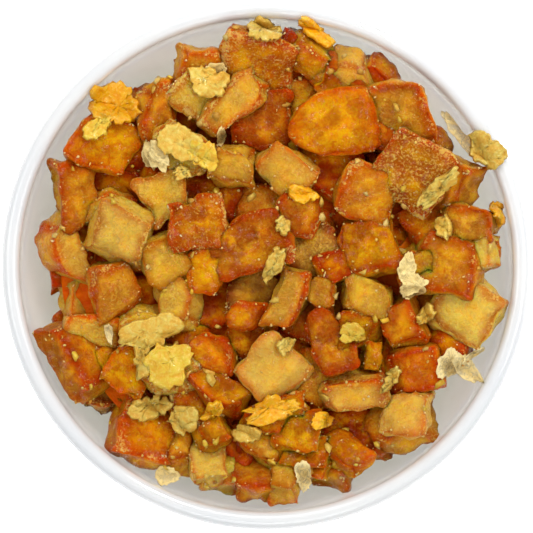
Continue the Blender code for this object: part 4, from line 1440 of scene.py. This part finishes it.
class PEEL_OT_membranes(bpy.types.Operator):
    """Lays the papery, see-through skins on the dice"""

    bl_idname = "peel.membranes"
    bl_label = "Membranes"

    def execute(self, context):
        kinds = ("membrane", "white")
        skins = flake_object("papery_membranes", kinds, MEMBRANE_THICKNESS, context.scene.peel_dice.seed + 1)
        enter_piece(skins, shared_material("dry_membrane", membrane_material))
        return {"FINISHED"}


class PEEL_OT_crumbs(bpy.types.Operator):
    """Sticks crumbs of peel and grains of sugar to the dice"""

    bl_idname = "peel.crumbs"
    bl_label = "Crumbs"

    def execute(self, context):
        seed = context.scene.peel_dice.seed
        peels = ("yellow", "flake", "pith", "tan")
        crumbs = crumb_object("peel_crumbs", CRUMBS, CRUMB_SIZES, peels, seed + 2)
        enter_piece(crumbs, shared_material("soft_flake", flake_material))
        sugars = ("sugar", "white", "membrane")
        grains = crumb_object("sugar_grains", GRAINS, GRAIN_SIZES, sugars, seed + 3)
        enter_piece(grains, shared_material("soft_flake", flake_material))
        return {"FINISHED"}


class PEEL_OT_stage(bpy.types.Operator):
    """Sets the white floor, the softbox, the surround and the camera"""

    bl_idname = "peel.stage"
    bl_label = "Stage"

    def execute(self, context):
        scene = context.scene
        stage = scene.peel_stage
        sweep = bmesh.new()
        bmesh.ops.create_grid(sweep, x_segments=1, y_segments=1, size=SWEEP_REACH)
        floor = mesh_object("sweep", sweep)
        floor.data.materials.append(floor_material())
        floor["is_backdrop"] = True

        lamps = [("softbox", SOFTBOX_PLACE, SOFTBOX_SIZE, stage.key_power)]
        for name, place, share in PANELS:
            lamps.append((name, place, PANEL_SIZE, stage.fill_power * share))
        for name, place, size, power in lamps:
            panel = bpy.data.lights.new(name, "AREA")
            panel.shape = "RECTANGLE"
            panel.size, panel.size_y = size
            panel.energy = power
            light = linked(name, panel)
            light.location = place
            light.rotation_euler = (LAMP_AIM - light.location).to_track_quat("-Z", "Y").to_euler()

        world = bpy.data.worlds.new("surround")
        world.use_nodes = True
        background = world.node_tree.nodes["Background"].inputs
        background["Color"].default_value = (1.0, 1.0, 1.0, 1.0)
        background["Strength"].default_value = stage.sky
        scene.world = world

        lens = bpy.data.cameras.new("camera")
        lens.lens = stage.lens
        lens.clip_end = 10.0
        camera = linked("camera", lens)
        height = scene.peel_bowl.height + stage.camera_height
        camera.location = (stage.camera_across, -stage.camera_down, height)
        scene.camera = camera

        scene.view_settings.view_transform = "Standard"
        scene.view_settings.look = "None"
        return {"FINISHED"}


class PEEL_PT_panel(bpy.types.Panel):
    """Lists the pieces of the bowl of peel, in the order they are built"""

    bl_label = "Candied peel"
    bl_idname = "PEEL_PT_panel"
    bl_space_type = "VIEW_3D"
    bl_region_type = "UI"
    bl_category = "Peel"

    def draw(self, context):
        for piece in PIECES:
            self.layout.operator(piece.bl_idname)


PIECES = (
    PEEL_OT_bowl,
    PEEL_OT_core,
    PEEL_OT_fill,
    PEEL_OT_zest,
    PEEL_OT_golden,
    PEEL_OT_orange,
    PEEL_OT_amber,
    PEEL_OT_deep,
    PEEL_OT_tan,
    PEEL_OT_yellow,
    PEEL_OT_pith,
    PEEL_OT_mauve,
    PEEL_OT_flakes,
    PEEL_OT_membranes,
    PEEL_OT_crumbs,
    PEEL_OT_stage,
)

SETTINGS = {
    "peel_bowl": BowlSettings,
    "peel_dice": PeelSettings,
    "peel_colours": ColourSettings,
    "peel_stage": StageSettings,
}


def register():
    for group in (*SETTINGS.values(), *PIECES, PEEL_PT_panel):
        bpy.utils.register_class(group)
    for name, group in SETTINGS.items():
        setattr(bpy.types.Scene, name, bpy.props.PointerProperty(type=group))


def unregister():
    for name in SETTINGS:
        delattr(bpy.types.Scene, name)
    for group in (PEEL_PT_panel, *reversed(PIECES), *SETTINGS.values()):
        bpy.utils.unregister_class(group)


def plain(corners):
    return [list(corner) for corner in corners]


def main():
    cad_box = plain(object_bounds())
    register()
    bpy.ops.peel.bowl()
    bpy.ops.peel.core()
    bpy.ops.peel.fill()
    bpy.ops.peel.zest()
    bpy.ops.peel.golden()
    bpy.ops.peel.orange()
    bpy.ops.peel.amber()
    bpy.ops.peel.deep()
    bpy.ops.peel.tan()
    bpy.ops.peel.yellow()
    bpy.ops.peel.pith()
    bpy.ops.peel.mauve()
    bpy.ops.peel.flakes()
    bpy.ops.peel.membranes()
    bpy.ops.peel.crumbs()
    bpy.ops.peel.stage()
    visual_box = plain(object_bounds())


if __name__ == "__main__":
    main()
